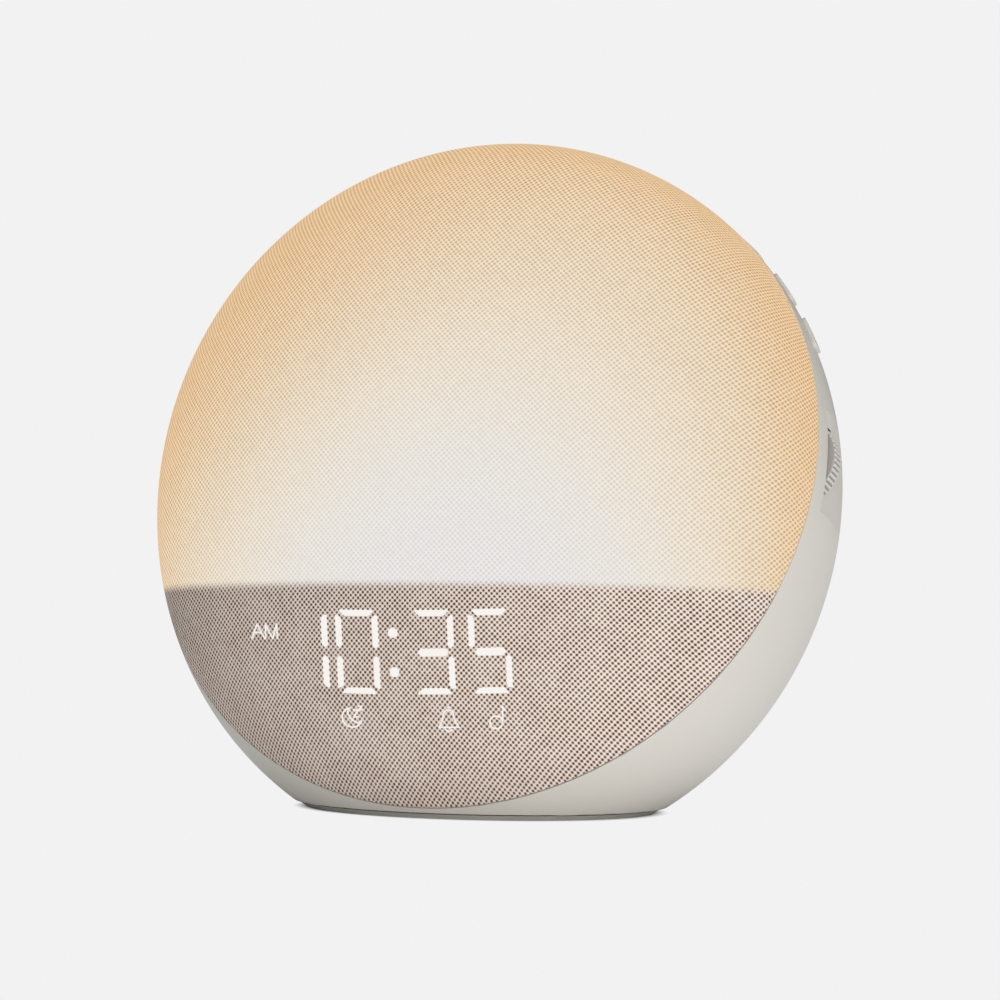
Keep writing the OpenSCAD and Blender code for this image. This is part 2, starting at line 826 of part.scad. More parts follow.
// Cup of the power inlet: its mouth follows the outer form, its flange rests on the wall's inside
module inlet_cup() {
    color(shell_colour) difference() {
        union() {
            intersection() {
                form_solid(0);
                along_back(jack_z) translate([0, 0, jack_floor - wall])
                    cylinder(r = cup_r, h = form_axis, $fn = 64);
            }
            intersection() {
                form_solid(wall + 0.1);
                along_back(jack_z) translate([0, 0, 1])
                    cylinder(r = cup_r + cup_flange_w, h = form_axis, $fn = 64);
            }
        }
        // Inside of the flange, round the cup
        difference() {
            form_solid(wall + 0.1 + cup_flange_t);
            along_back(jack_z) translate([0, 0, jack_floor - wall])
                cylinder(r = cup_r, h = form_axis, $fn = 64);
        }
        along_back(jack_z) translate([0, 0, jack_floor])
            cylinder(r = jack_pocket_r, h = form_axis, $fn = 64);
        along_back(jack_z) translate([0, 0, jack_floor - wall - 1])
            cylinder(r = jack_r + 0.1, h = wall + 2, $fn = 48);
    }
}

module base_plate() {
    color(shell_colour) difference() {
        intersection() {
            form_solid(wall - 0.5);
            table_slab(pad_t, base_top);
        }
        for (p = base_bosses) translate([p.x, p.y, pad_t - 1]) {
            cylinder(r = screw_r + 0.2, h = base_t + 2, $fn = 32);
            cylinder(r = head_r + 0.3, h = 2, $fn = 32);
        }
    }
}

module base_pad() {
    color(pad_colour) difference() {
        intersection() {
            form_solid(0.4);
            table_slab(0, pad_t);
        }
        for (p = base_bosses) translate([p.x, p.y, -1])
            cylinder(r = head_r + 1, h = pad_t + 2, $fn = 32);
    }
}

// ---- Speaker ----------------------------------------------------------------------------

gasket_t = 0.8;
flange_metal = 1.4;
speaker_screw_angles = [45, 135, 225, 315];
speaker_screw_ring = speaker_r - seat_w / 2 + 0.4;
basket_back = seat_face + gasket_t;
magnet_r = speaker_r * 0.55;
basket_depth = speaker_d * 0.55;

module speaker_gasket() {
    color(dark_colour) in_form() translate([0, 0, seat_face]) difference() {
        cylinder(r = speaker_r, h = gasket_t, $fn = curve_fn);
        translate([0, 0, -1]) cylinder(r = speaker_r - seat_w, h = gasket_t + 2, $fn = curve_fn);
        for (a = speaker_screw_angles) rotate(a) translate([speaker_screw_ring, 0, -1])
            cylinder(r = 1.2, h = gasket_t + 2, $fn = 24);
    }
}

// Flange and open cone of the basket, with four windows between its spokes
module speaker_basket() {
    inner = speaker_r - seat_w;
    color([0.25, 0.25, 0.26]) in_form() translate([0, 0, basket_back]) difference() {
        rotate_extrude($fn = curve_fn)
            polygon([[inner, 0], [speaker_r, 0], [speaker_r, flange_metal],
                     [inner + 0.6, flange_metal], [magnet_r, basket_depth],
                     [magnet_r * 0.6, basket_depth], [magnet_r * 0.6, basket_depth - 1.2],
                     [magnet_r - 1, basket_depth - 1.2], [inner - 1, 0]]);
        for (a = [0, 90, 180, 270]) rotate(a)
            translate([inner * 0.55, 0, basket_depth / 2]) rotate([0, 90, 0])
                cylinder(r = basket_depth * 0.28, h = speaker_r / 2, $fn = 32);
        for (a = speaker_screw_angles) rotate(a) translate([speaker_screw_ring, 0, -1])
            cylinder(r = 1.3, h = flange_metal + 2, $fn = 24);
    }
}

// Paper cone with its rolled edge and dust cap, clamped between gasket and basket
module speaker_cone() {
    edge = speaker_r - seat_w - 1.6;
    neck = magnet_r * 0.55;
    sink = basket_depth * 0.7;
    color([0.1, 0.1, 0.1]) in_form() translate([0, 0, basket_back]) rotate_extrude($fn = curve_fn)
        polygon([[0, sink - 3], [neck * 0.6, sink - 2.4], [neck, sink - 0.6], [edge - 2, 0.4],
                 [edge - 1, -0.4], [edge, 0], [edge, 0.5], [edge - 1, 0.2], [edge - 2, 1],
                 [neck, sink], [neck * 0.6, sink], [neck * 0.6, basket_depth - 1.4],
                 [neck * 0.5, basket_depth - 1.4], [neck * 0.5, sink - 1.6], [0, sink - 2.2]]);
}

module speaker_magnet() {
    color(steel_colour) in_form() translate([0, 0, basket_back + basket_depth]) {
        cylinder(r = magnet_r - 1, h = (speaker_d - basket_depth) * 0.7, $fn = 64);
        translate([0, 0, (speaker_d - basket_depth) * 0.7])
            cylinder(r = magnet_r - 0.4, h = (speaker_d - basket_depth) * 0.3, $fn = 64);
    }
}

// Perforated disc that closes the opening and follows the outer form
module speaker_grille() {
    color(shell_colour) difference() {
        form_solid(0);
        form_solid(grille_t - 0.1);
        in_form() difference() {
            cube(reach, center = true);
            translate([0, 0, -form_axis - 1])
                cylinder(r = grille_r, h = form_axis / 2, $fn = curve_fn);
        }
        in_form() for (p = grille_places)
            translate([p.x, p.y, -form_axis - 1])
                cylinder(r = grille_hole_r, h = wall + 6, $fn = 24);
    }
}

// Fine mesh behind the grille holes
module grille_mesh() {
    color(dark_colour) intersection() {
        difference() {
            form_solid(wall + 0.1);
            form_solid(wall + 0.5);
        }
        in_form() translate([0, 0, -form_axis])
            cylinder(r = speaker_r - seat_w - 0.3, h = form_axis / 2, $fn = curve_fn);
    }
}

module speaker_screws() {
    color(steel_colour) in_form() for (a = speaker_screw_angles) rotate(a)
        translate([speaker_screw_ring, 0, basket_back + flange_metal]) {
            cylinder(r = 1.7, h = 1, $fn = 32);
            translate([0, 0, -5]) cylinder(r = 0.85, h = 5.2, $fn = 24);
        }
}

// ---- Electronics ------------------------------------------------------------------------

main_w = 78;
main_h = 38;
main_t = 1.6;
spacer_inset = 4;
spacer_r = 2.8;
spacer_h = 20;
spacer_nut_h = 1.4;
spacer_room = 1.2;                   // between the lower spacers and the front base bosses
// The lower spacers pass over the rear edge of the front bosses' tops
spacer_low = cos(face_tilt) * (base_top + seat_gap + base_boss_h - centre_z)
    + sin(face_tilt) * (base_bosses[3].y + boss_r) + spacer_r + spacer_room;
main_s = spacer_low + main_h / 2 - spacer_inset;
spacer_xs = [for (side = [-1, 1]) side * (main_w / 2 - spacer_inset)];
spacer_ss = [spacer_low, spacer_low + main_h - 2 * spacer_inset];
main_back = chassis_back - spacer_h;

module main_board() {
    color(board_colour) in_face() translate([0, main_s, main_back - main_t]) difference() {
        linear_extrude(main_t) round_rect(main_w, main_h, 2);
        for (x = spacer_xs, s = spacer_ss) translate([x, s - main_s, -1])
            cylinder(r = screw_r, h = main_t + 2, $fn = 24);
    }
}

module board_spacers() {
    color(steel_colour) in_face() for (x = spacer_xs, s = spacer_ss) {
        translate([x, s, main_back]) cylinder(r = spacer_r, h = spacer_h, $fn = 6);
        translate([x, s, main_back - main_t - spacer_nut_h])
            cylinder(r = spacer_r - 0.4, h = spacer_nut_h, $fn = 32);
        translate([x, s, main_back - main_t - 0.2])
            cylinder(r = screw_r - 0.1, h = main_t + 0.4, $fn = 24);
    }
}

// Controller, amplifier, memory and capacitors on the board's back
module board_chips() {
    back = main_back - main_t;
    color([0.08, 0.08, 0.09]) in_face() {
        for (c = [[-25, -8, 10, 10, 1.6], [-8, -10, 6, 8, 1.4], [-25, 9, 5, 6, 1.4]])
            translate([c[0] - c[2] / 2, main_s + c[1] - c[3] / 2, back - c[4]])
                cube([c[2], c[3], c[4]]);
        for (x = [-9, 0]) translate([x, main_s + 8, back - 7])
            cylinder(r = 3.2, h = 7, $fn = 32);
    }
}

holder_wall = 1.6;
holder_floor = 1.4;
holder_back = main_back - main_t - cell_t - holder_floor;
cell_x = spacer_xs[1] - spacer_r - 2.6 - cell_r - holder_wall;

module cell_holder() {
    color(dark_colour) in_face() translate([cell_x, main_s, holder_back]) difference() {
        cylinder(r = cell_r + holder_wall, h = cell_t + holder_floor, $fn = 64);
        translate([0, 0, -1])
            cylinder(r = cell_r + seat_gap, h = cell_t + 1 + seat_gap, $fn = 64);
    }
}

module coin_cell() {
    color(steel_colour) in_face() translate([cell_x, main_s, holder_back])
        cylinder(r = cell_r, h = cell_t, $fn = 64);
}

// Panel jack: flange in the pocket, threaded barrel, centre pin
module power_jack() {
    barrel = 12;
    color(dark_colour) along_back(jack_z) {
        difference() {
            union() {
                translate([0, 0, jack_floor])
                    cylinder(r = jack_r + 1.6, h = jack_flange_t, $fn = 48);
                translate([0, 0, jack_floor - barrel]) cylinder(r = jack_r, h = barrel, $fn = 48);
            }
            translate([0, 0, jack_floor - barrel + 2]) cylinder(r = 2.85, h = barrel, $fn = 48);
        }
        translate([0, 0, jack_floor - barrel + 1]) cylinder(r = 1, h = barrel - 2, $fn = 24);
    }
}

module jack_nut() {
    color(steel_colour) along_back(jack_z) translate([0, 0, jack_floor - wall - 2]) difference() {
        cylinder(r = jack_r + 2.2, h = 2, $fn = 6);
        translate([0, 0, -1]) cylinder(r = jack_r + fit_gap, h = 4, $fn = 48);
    }
}

// ---- Fasteners --------------------------------------------------------------------------

module pan_screw(length) {
    cylinder(r = head_r, h = head_h, $fn = 32);
    translate([0, 0, -length]) cylinder(r = screw_r - 0.15, h = length + 0.2, $fn = 24);
}

module chassis_screws() {
    color(steel_colour) at_bosses() translate([0, 0, chassis_front]) pan_screw(10);
}

module base_screws() {
    color(steel_colour) for (p = base_bosses)
        translate([p.x, p.y, pad_t + 1]) mirror([0, 0, 1]) pan_screw(8);
}

front_cloth();
diffuser_dome();
display_window();
rim_ring();
divider_shelf();
reflector();
led_board();
leds();
display_block();
display_segments();
display_board();
chassis();
rear_housing();
base_plate();
base_pad();
snooze_bar();
key_right_1();
key_right_2();
key_right_3();
key_left_1();
key_left_2();
key_left_3();
key_board_right();
key_board_left();
key_board_top();
key_switches();
wheel_right();
wheel_left();
wheel_carrier_right();
wheel_carrier_left();
speaker_basket();
speaker_cone();
speaker_magnet();
speaker_gasket();
speaker_grille();
grille_mesh();
main_board();
board_chips();
board_spacers();
cell_holder();
coin_cell();
inlet_cup();
power_jack();
jack_nut();
chassis_screws();
base_screws();
speaker_screws();
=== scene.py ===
"""Looks of a sunrise alarm clock: a pebble-shaped lamp with a lit cloth face, keys and thumb wheels."""

import math

import bpy
from bpy.props import FloatProperty, FloatVectorProperty, IntProperty, PointerProperty, StringProperty
from mathutils import Matrix, Vector


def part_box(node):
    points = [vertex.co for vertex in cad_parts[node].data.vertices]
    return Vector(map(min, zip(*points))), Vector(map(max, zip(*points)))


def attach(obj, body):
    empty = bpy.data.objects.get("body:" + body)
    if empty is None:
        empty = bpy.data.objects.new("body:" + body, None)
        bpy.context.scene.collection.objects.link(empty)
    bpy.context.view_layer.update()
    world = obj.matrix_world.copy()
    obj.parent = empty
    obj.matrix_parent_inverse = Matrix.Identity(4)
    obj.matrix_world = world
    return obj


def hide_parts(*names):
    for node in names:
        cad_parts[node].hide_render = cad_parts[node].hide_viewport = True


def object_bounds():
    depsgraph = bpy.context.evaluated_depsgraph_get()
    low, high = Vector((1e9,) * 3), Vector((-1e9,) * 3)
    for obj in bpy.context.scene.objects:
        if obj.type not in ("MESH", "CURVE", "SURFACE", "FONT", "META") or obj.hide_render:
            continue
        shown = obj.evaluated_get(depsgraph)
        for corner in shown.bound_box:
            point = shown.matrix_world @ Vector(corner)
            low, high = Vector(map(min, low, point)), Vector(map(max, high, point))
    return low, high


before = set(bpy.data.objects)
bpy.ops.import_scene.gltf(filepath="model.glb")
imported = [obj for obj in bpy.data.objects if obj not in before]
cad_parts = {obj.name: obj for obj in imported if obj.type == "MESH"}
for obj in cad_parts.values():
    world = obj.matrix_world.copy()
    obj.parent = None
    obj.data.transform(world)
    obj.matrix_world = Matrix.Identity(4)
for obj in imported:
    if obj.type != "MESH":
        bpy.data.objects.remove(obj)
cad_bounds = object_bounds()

bl_info = {
    "name": "Sunrise alarm clock",
    "version": (1, 0, 0),
    "blender": (4, 5, 0),
    "location": "View3D > Sidebar > Alarm clock",
    "description": "Models a sunrise alarm clock's cloth face, housing, keys and stage around its CAD parts",
    "category": "Object",
}

MM = 0.001
TABLE_TOP = cad_bounds[0].z
BODY = "clock_body"

# Clearances and places that follow the CAD parts; fronts and crests lie along the face's axis
KEY_GAP = 0.25 * MM
KEY_CORNER = 1.6 * MM
KEY_FLANGE = 1.8 * MM
WHEEL_FRONT = 3.2 * MM
WHEEL_CREST = 1 * MM
WHEEL_PROUD = 1.5 * MM
WHEEL_GAP = 0.5 * MM
REST_MARGIN = 0.8 * MM
PAD_GAP = 0.3 * MM
CUP_FLANGE = 1.8 * MM
GRILLE_GAP = 0.1 * MM


# ---- Sizes and colours that a user would change -------------------------------------------


def length(name, description, millimetres):
    return FloatProperty(name=name, description=description, default=millimetres * MM, unit="LENGTH",
                         precision=5)


def angle(name, description, degrees):
    return FloatProperty(name=name, description=description, default=math.radians(degrees), subtype="ANGLE",
                         unit="ROTATION")


def colour(name, description, red, green, blue):
    return FloatVectorProperty(name=name, description=description, default=(red, green, blue), size=3,
                               subtype="COLOR_GAMMA", min=0, max=1)


class ClockForm(bpy.types.PropertyGroup):
    """The pebble and the planes that cut it."""

    radius: length("Radius", "Radius of the pebble across its width", 87)
    half_depth: length("Half depth", "Half thickness of the pebble along its own axis", 56.7)
    tilt: angle("Tilt", "How far the pebble's axis leans back", 12.3)
    foot_cut: length("Foot cut", "How much is cut off the bottom of the pebble", 12.3)
    face_tilt: angle("Face tilt", "How far the parting plane leans back", 24.1)
    face_plane: length("Parting plane", "Distance of the cloth's edge in front of the centre", 8.8)
    seam_gap: length("Seam", "Width of the shadow gap behind the cloth", 0.35)
    wall: length("Wall", "Wall thickness of the housing", 2.4)
    pad_t: length("Pad", "Thickness of the soft pad under the base", 1.2)


class ClockCloth(bpy.types.PropertyGroup):
    """The mesh cloth and the light behind it."""

    thickness: length("Thickness", "Thickness of the cloth", 0.7)
    hem: length("Hem", "Width of the hem that is turned in behind the dome", 3.2)
    pitch: length("Thread pitch", "Distance between two neighbouring threads", 0.9)
    light_drop: length("Light's edge", "How far the chamber's light ends below the centre", 22.65)
    light_tilt: angle("Light's tilt", "How far the edge of the light rises towards the front", 5.5)
    light_slope: angle("Light's slope", "How far the edge of the light rises towards the right", 1.33)
    thread: colour("Thread", "Colour of the threads", 0.94, 0.88, 0.83)
    hollow: colour("Hollow", "Colour between the threads, where no light shines", 0.3, 0.21, 0.14)


class ClockDisplay(bpy.types.PropertyGroup):
    """What the clock shows."""

    time: StringProperty(name="Time", description="Time on the display, four figures around a colon",
                         default="10:35")
    digit_h: length("Digit height", "Height of a digit as its light falls on the cloth", 20)
    digit_w: length("Digit width", "Width of a digit between the middles of its bars", 9.4)
    digit_pitch: length("Digit pitch", "Distance between two neighbouring digits", 14.8)
    first_pitch: length("First pitch", "Distance between the first two digits", 13.1)
    colon_pitch: length("Colon pitch", "Distance between the digits beside the colon", 19.4)
    colon_off: length("Colon offset", "Sideways place of the colon between the digits", -0.45)
    bar_w: length("Bar width", "Width of a lit bar", 1.65)
    bar_gap: length("Bar gap", "Distance from the tip of a bar to the corner of its digit", 0.75)
    lit: colour("Lit", "Colour of the lit bars", 0.955, 0.94, 0.925)


class ClockControls(bpy.types.PropertyGroup):
    """Keys and thumb wheels."""

    key_l: length("Key length", "Length of a small key along the rim", 9.2)
    key_d: length("Key depth", "Depth of a small key from front to back", 4.8)
    key_rise: length("Key rise", "Height of a key above the housing", 0.8)
    key_front: length("Key front", "Place of the keys' front edges along the face's axis", 2)
    key_first: angle("First key", "Angle of the lowest key above the middle of the face", 30.6)
    key_step: angle("Key step", "Angle between neighbouring keys", 9.8)
    key_count: IntProperty(name="Keys", description="Number of small keys on each shoulder", default=3,
                           min=2, max=3)
    snooze_l: length("Snooze bar", "Length of the snooze bar on the crown", 44)
    snooze_d: length("Snooze depth", "Depth of the snooze bar from front to back", 11)
    wheel_r: length("Wheel radius", "Radius of a thumb wheel", 11)
    wheel_t: length("Wheel thickness", "Thickness of a thumb wheel", 4)
    wheel_up: length("Wheel height", "Height of the wheels' centres above the pebble's centre", 10.5)
    rest_h: length("Rest height", "Height of the flat thumb rest round a wheel", 26)
    rest_depth: length("Rest depth", "Depth of the thumb rest below the widest line", 3.5)


class ClockFinish(bpy.types.PropertyGroup):
    """Colours of the moulded parts."""

    shell: colour("Shell", "Colour of the housing", 0.835, 0.82, 0.79)
    pad: colour("Pad", "Colour of the soft foot pad", 0.72, 0.71, 0.68)
    dark: colour("Dark trim", "Colour of the black mouldings", 0.12, 0.115, 0.11)
    board: colour("Board", "Colour of the circuit boards", 0.07, 0.29, 0.17)


class ClockStage(bpy.types.PropertyGroup):
    """Camera, floor and lamps."""

    azimuth: angle("Azimuth", "How far the camera stands to the right of the front", 25.74)
    elevation: angle("Elevation", "How far the camera stands above the middle of the clock", 2.5)
    distance: FloatProperty(name="Distance", description="Distance of the camera from the pebble's centre",
                            default=1.667, unit="LENGTH")
    lens: FloatProperty(name="Lens", description="Focal length in millimetres", default=249.5)
    shift: FloatVectorProperty(name="Shift", description="Shift of the camera across and up", size=2,
                               default=(0.0042, 0.0008), precision=4)
    lamp_distance: FloatProperty(name="Lamp distance", description="Distance of the lamps from the clock",
                                 default=1.8, unit="LENGTH")
    lamp_size: FloatProperty(name="Lamp size", description="Width of the soft lamps", default=0.8,
                             unit="LENGTH")
    ambient: FloatProperty(name="Ambient", description="Strength of the even light", default=0.2, min=0)
    backdrop: colour("Backdrop", "Colour of the floor and backdrop", 0.949, 0.949, 0.949)


# ---- Frames of the clock ------------------------------------------------------------------


def centre():
    """Centre of the pebble."""
    form = bpy.context.scene.clock_form
    half_height = math.hypot(form.radius * math.cos(form.tilt), form.half_depth * math.sin(form.tilt))
    return Vector((0, 0, half_height - form.foot_cut))


def leaning(tilt):
    """A frame at the pebble's centre that leans back: x across, y up, z forwards."""
    return Matrix.Translation(centre()) @ Matrix.Rotation(math.pi / 2 - tilt, 4, "X")


def form_frame():
    return leaning(bpy.context.scene.clock_form.tilt)


def face_frame():
    return leaning(bpy.context.scene.clock_form.face_tilt)


def rim_point(turn, depth):
    """Point on the pebble's surface at an angle round the face's axis and a place along it."""
    form = bpy.context.scene.clock_form
    lean = form.face_tilt - form.tilt
    wide, thick = form.radius ** -2, form.half_depth ** -2
    up_part = math.cos(lean) ** 2 * wide + math.sin(lean) ** 2 * thick
    a = math.cos(turn) ** 2 * wide + math.sin(turn) ** 2 * up_part
    b = 2 * depth * math.sin(turn) * math.sin(lean) * math.cos(lean) * (wide - thick)
    c = depth ** 2 * (math.sin(lean) ** 2 * wide + math.cos(lean) ** 2 * thick) - 1
    reach = (-b + math.sqrt(b * b - 4 * a * c)) / (2 * a)
    return Vector((reach * math.cos(turn), reach * math.sin(turn), depth))


def surface_normal(point):
    """Outward direction of the pebble's surface at a point, both in the scene's frame."""
    form = bpy.context.scene.clock_form
    local = form_frame().inverted() @ point
    local = Vector((local.x / form.radius ** 2, local.y / form.radius ** 2, local.z / form.half_depth ** 2))
    return (form_frame().to_3x3() @ local).normalized()


def key_frame(turn, depth, mirrored=False):
    """Frame of a key on the pebble's surface: x towards the back, y along the rim, z outwards."""
    middle = bpy.context.scene.clock_controls.key_front - depth / 2
    point = face_frame() @ rim_point(turn, middle)
    outward = surface_normal(point)
    if mirrored:
        point.x, outward.x = -point.x, -outward.x
    backward = -(face_frame().to_3x3() @ Vector((0, 0, 1)))
    across = (backward - backward.dot(outward) * outward).normalized()
    along = outward.cross(across)
    turned = Matrix((across, along, outward)).transposed().to_4x4()
    return Matrix.Translation(point) @ turned


# ---- Modelling tools ----------------------------------------------------------------------


def only(piece):
    """Selects one piece and nothing else."""
    if bpy.context.mode != "OBJECT":
        bpy.ops.object.mode_set(mode="OBJECT")
    bpy.ops.object.select_all(action="DESELECT")
    piece.select_set(True)
    bpy.context.view_layer.objects.active = piece
    return piece


def settle(piece, matrix):
    """Puts a new primitive at its place and applies that, so that the object stays at the origin."""
    only(piece)
    piece.matrix_world = matrix @ piece.matrix_world
    bpy.ops.object.transform_apply(location=True, rotation=True, scale=True)
    return piece


def finish_with(piece, kind, **settings):
    """Adds a modifier and applies it."""
    only(piece)
    modifier = piece.modifiers.new(kind.title(), kind)
    for key, value in settings.items():
        setattr(modifier, key, value)
    bpy.ops.object.modifier_apply(modifier=modifier.name)
    return piece


def combine(piece, tool, operation):
    """Applies a boolean and removes its tool."""
    finish_with(piece, "BOOLEAN", operation=operation, object=tool, solver="EXACT")
    bpy.data.objects.remove(tool)
    return piece


def cut_away(piece, tool):
    return combine(piece, tool, "DIFFERENCE")


def keep_inside(piece, tool):
    return combine(piece, tool, "INTERSECT")


def slice_off(piece, point, normal, fill):
    """Cuts a piece along a plane and takes away what lies on the normal's side."""
    only(piece)
    bpy.ops.object.mode_set(mode="EDIT")
    bpy.ops.mesh.select_all(action="SELECT")
    bpy.ops.mesh.bisect(plane_co=point, plane_no=normal, use_fill=fill, clear_outer=True)
    bpy.ops.object.mode_set(mode="OBJECT")
    return piece


def face_slice(piece, depth, side, fill):
    """Cuts along a plane across the face's axis; side 1 takes the front away and side -1 the back."""
    face = face_frame()
    return slice_off(piece, face @ Vector((0, 0, depth)), face.to_3x3() @ Vector((0, 0, side)), fill)


def pebble(name, inset=0.0, segments=224, rings=112):
    """The clock's whole form, made smaller by inset."""
    form = bpy.context.scene.clock_form
    bpy.ops.mesh.primitive_uv_sphere_add(segments=segments, ring_count=rings, radius=1)
    piece = bpy.context.object
    piece.name = name
    piece.scale = (form.radius - inset, form.radius - inset, form.half_depth - inset)
    return settle(piece, form_frame())


def rod(name, radius, depth, matrix, vertices=96):
    """A cylinder from its frame's origin along z."""
    bpy.ops.mesh.primitive_cylinder_add(vertices=vertices, radius=radius, depth=depth,
                                        location=(0, 0, depth / 2))
    piece = bpy.context.object
    piece.name = name
    return settle(piece, matrix)


def block(name, low, high, matrix):
    """A box between two corners of a frame."""
    low, high = Vector(low), Vector(high)
    bpy.ops.mesh.primitive_cube_add(size=1, location=(low + high) / 2, scale=high - low)
    piece = bpy.context.object
    piece.name = name
    return settle(piece, matrix)


def tablet(name, size, corner, matrix, segments=6):
    """A box with rounded upright edges, centred across its frame; size is its width, length and ends in z."""
    across, along, (low, high) = size
    piece = block(name, (-across / 2, -along / 2, low), (across / 2, along / 2, high), Matrix.Identity(4))
    bpy.ops.object.mode_set(mode="EDIT")
    bpy.ops.mesh.select_all(action="DESELECT")
    bpy.ops.object.mode_set(mode="OBJECT")
    for edge in piece.data.edges:
        a, b = (piece.data.vertices[i].co for i in edge.vertices)
        edge.select = abs(a.z - b.z) > abs(high - low) / 2
    bpy.ops.object.mode_set(mode="EDIT")
    bpy.ops.mesh.select_mode(type="EDGE")
    bpy.ops.mesh.bevel(offset=corner, segments=segments, affect="EDGES")
    bpy.ops.object.mode_set(mode="OBJECT")
    return settle(piece, matrix)


def smooth(piece, degrees=32):
    only(piece)
    bpy.ops.object.shade_smooth_by_angle(angle=math.radians(degrees))
    return piece


def soften_edges(piece, width, segments=2, degrees=40):
    """Rounds every sharp edge a little."""
    return finish_with(piece, "BEVEL", width=width, segments=segments, limit_method="ANGLE",
                       angle_limit=math.radians(degrees), harden_normals=False, use_clamp_overlap=True)


def dress(piece, material):
    piece.data.materials.clear()
    piece.data.materials.append(material)
    return piece


# ---- Shader maths -------------------------------------------------------------------------


def linear(colour_):
    """A written colour as the light values that the shader works with."""
    def channel(value):
        return value / 12.92 if value <= 0.04045 else ((value + 0.055) / 1.055) ** 2.4
    return (*(channel(value) for value in colour_), 1.0)


class Value:
    """A number that varies over a surface. An expression on it adds the Math nodes that work it out."""

    def __init__(self, recipe, socket):
        self.recipe = recipe
        self.socket = socket

    def math(self, operation, *others):
        inputs = dict(enumerate(others, start=1))
        return self.recipe.node("ShaderNodeMath", {"operation": operation}, {0: self, **inputs})

    def reflected(self, operation, other):
        return self.recipe.node("ShaderNodeMath", {"operation": operation}, {0: other, 1: self})

    def __add__(self, other):
        return self.math("ADD", other)

    def __radd__(self, other):
        return self.math("ADD", other)

    def __sub__(self, other):
        return self.math("SUBTRACT", other)

    def __rsub__(self, other):
        return self.reflected("SUBTRACT", other)

    def __mul__(self, other):
        return self.math("MULTIPLY", other)

    def __rmul__(self, other):
        return self.math("MULTIPLY", other)

    def __truediv__(self, other):
        return self.math("DIVIDE", other)

    def __rtruediv__(self, other):
        return self.reflected("DIVIDE", other)

    def __pow__(self, other):
        return self.math("POWER", other)

    def __neg__(self):
        return self.math("MULTIPLY", -1)

    def __abs__(self):
        return self.math("ABSOLUTE")

    def cosine(self):
        return self.math("COSINE")

    def root(self):
        return self.math("SQRT")

    def arcsine(self):
        return self.math("ARCSINE")

    def least(self, other):
        return self.math("MINIMUM", other)

    def most(self, other):
        return self.math("MAXIMUM", other)

    def step(self, low, high):
        """0 below low, 1 above high and a smooth rise between."""
        return self.recipe.node("ShaderNodeMapRange", {"interpolation_type": "SMOOTHSTEP"},
                                {"Value": self, "From Min": low, "From Max": high})


class Recipe:
    """One material, built node by node."""

    def __init__(self, name):
        self.material = bpy.data.materials.new(name)
        self.material.use_nodes = True
        self.tree = self.material.node_tree
        self.tree.nodes.clear()

    def node(self, kind, settings=None, inputs=None, output=0):
        """Adds a node, gives it its settings and then its sockets' values or links."""
        made = self.tree.nodes.new(kind)
        for key, value in (settings or {}).items():
            if key == "stops":
                self.set_stops(made.color_ramp, value)
            else:
                setattr(made, key, value)
        for key, value in (inputs or {}).items():
            if isinstance(value, Value):
                self.tree.links.new(value.socket, made.inputs[key])
            else:
                made.inputs[key].default_value = value
        if isinstance(output, tuple):
            return tuple(Value(self, made.outputs[each]) for each in output)
        return made if output is None else Value(self, made.outputs[output])

    @staticmethod
    def set_stops(ramp, stops):
        while len(ramp.elements) < len(stops):
            ramp.elements.new(1.0)
        for element, (place, colour_) in zip(ramp.elements, stops):
            element.position = place
            element.color = colour_

    def point(self):
        return self.node("ShaderNodeTexCoord", output="Object")

    def axes(self, point):
        return self.node("ShaderNodeSeparateXYZ", {}, {0: point}, ("X", "Y", "Z"))

    def mix(self, factor, first, second, blend="MIX"):
        return self.node("ShaderNodeMix", {"data_type": "RGBA", "blend_type": blend},
                         {0: factor, 6: first, 7: second}, 2)

    def tint(self, first, second):
        return self.mix(1.0, first, second, "MULTIPLY")

    def noise(self, point, scale, detail=2.0, roughness=0.5):
        return self.node("ShaderNodeTexNoise", {},
                         {"Vector": point, "Scale": scale, "Detail": detail, "Roughness": roughness}, "Fac")

    def bump(self, height, distance, strength=1.0):
        return self.node("ShaderNodeBump", {}, {"Height": height, "Distance": distance, "Strength": strength})

    def surface(self, **sockets):
        """Ends the material with a Principled shader; sockets are named with _ for a space."""
        inputs = {key.replace("_", " "): value for key, value in sockets.items()}
        return self.ended_by(self.node("ShaderNodeBsdfPrincipled", {}, inputs))

    def ended_by(self, shader):
        self.node("ShaderNodeOutputMaterial", {}, {"Surface": shader}, None)
        return self.material


# ---- The cloth's material -----------------------------------------------------------------

BARS_OF = {"0": "abcdef", "1": "bc", "2": "abged", "3": "abgcd", "4": "fgbc", "5": "afgcd",
           "6": "afgedc", "7": "abc", "8": "abcdefg", "9": "abcdfg"}
DIAGONAL = math.sqrt(0.5)
COLON_DOT = 1.3                          # radius in millimetres


def bar_inside(x, y, name, display):
    """How far inside one bar of a seven-bar digit a point lies, from the digit's middle."""
    half_w, half_h, half_bar = display.digit_w / 2, display.digit_h / 2, display.bar_w / 2
    gap = display.bar_gap
    blunt = gap * 0.5
    if name == "g":
        out = abs(y)
        return (half_bar * 1.25 - out).least((half_w - gap * 0.7 - out - abs(x)) * DIAGONAL).least(
            half_w - gap - abs(x))
    if name in "ad":
        out = (y if name == "a" else -y) - half_h + gap * 0.15
        return (half_bar - abs(out)).least((half_w - gap + out - abs(x)) * DIAGONAL).least(
            half_w - blunt - abs(x))
    out = (x if name in "bc" else -x) - half_w
    up = y if name in "bf" else -y
    ends = ((up - abs(out) - gap * 1.2) * DIAGONAL).least((half_h - gap + out - up) * DIAGONAL)
    return (half_bar - abs(out)).least(ends).least(half_h - gap * 0.95 - up)


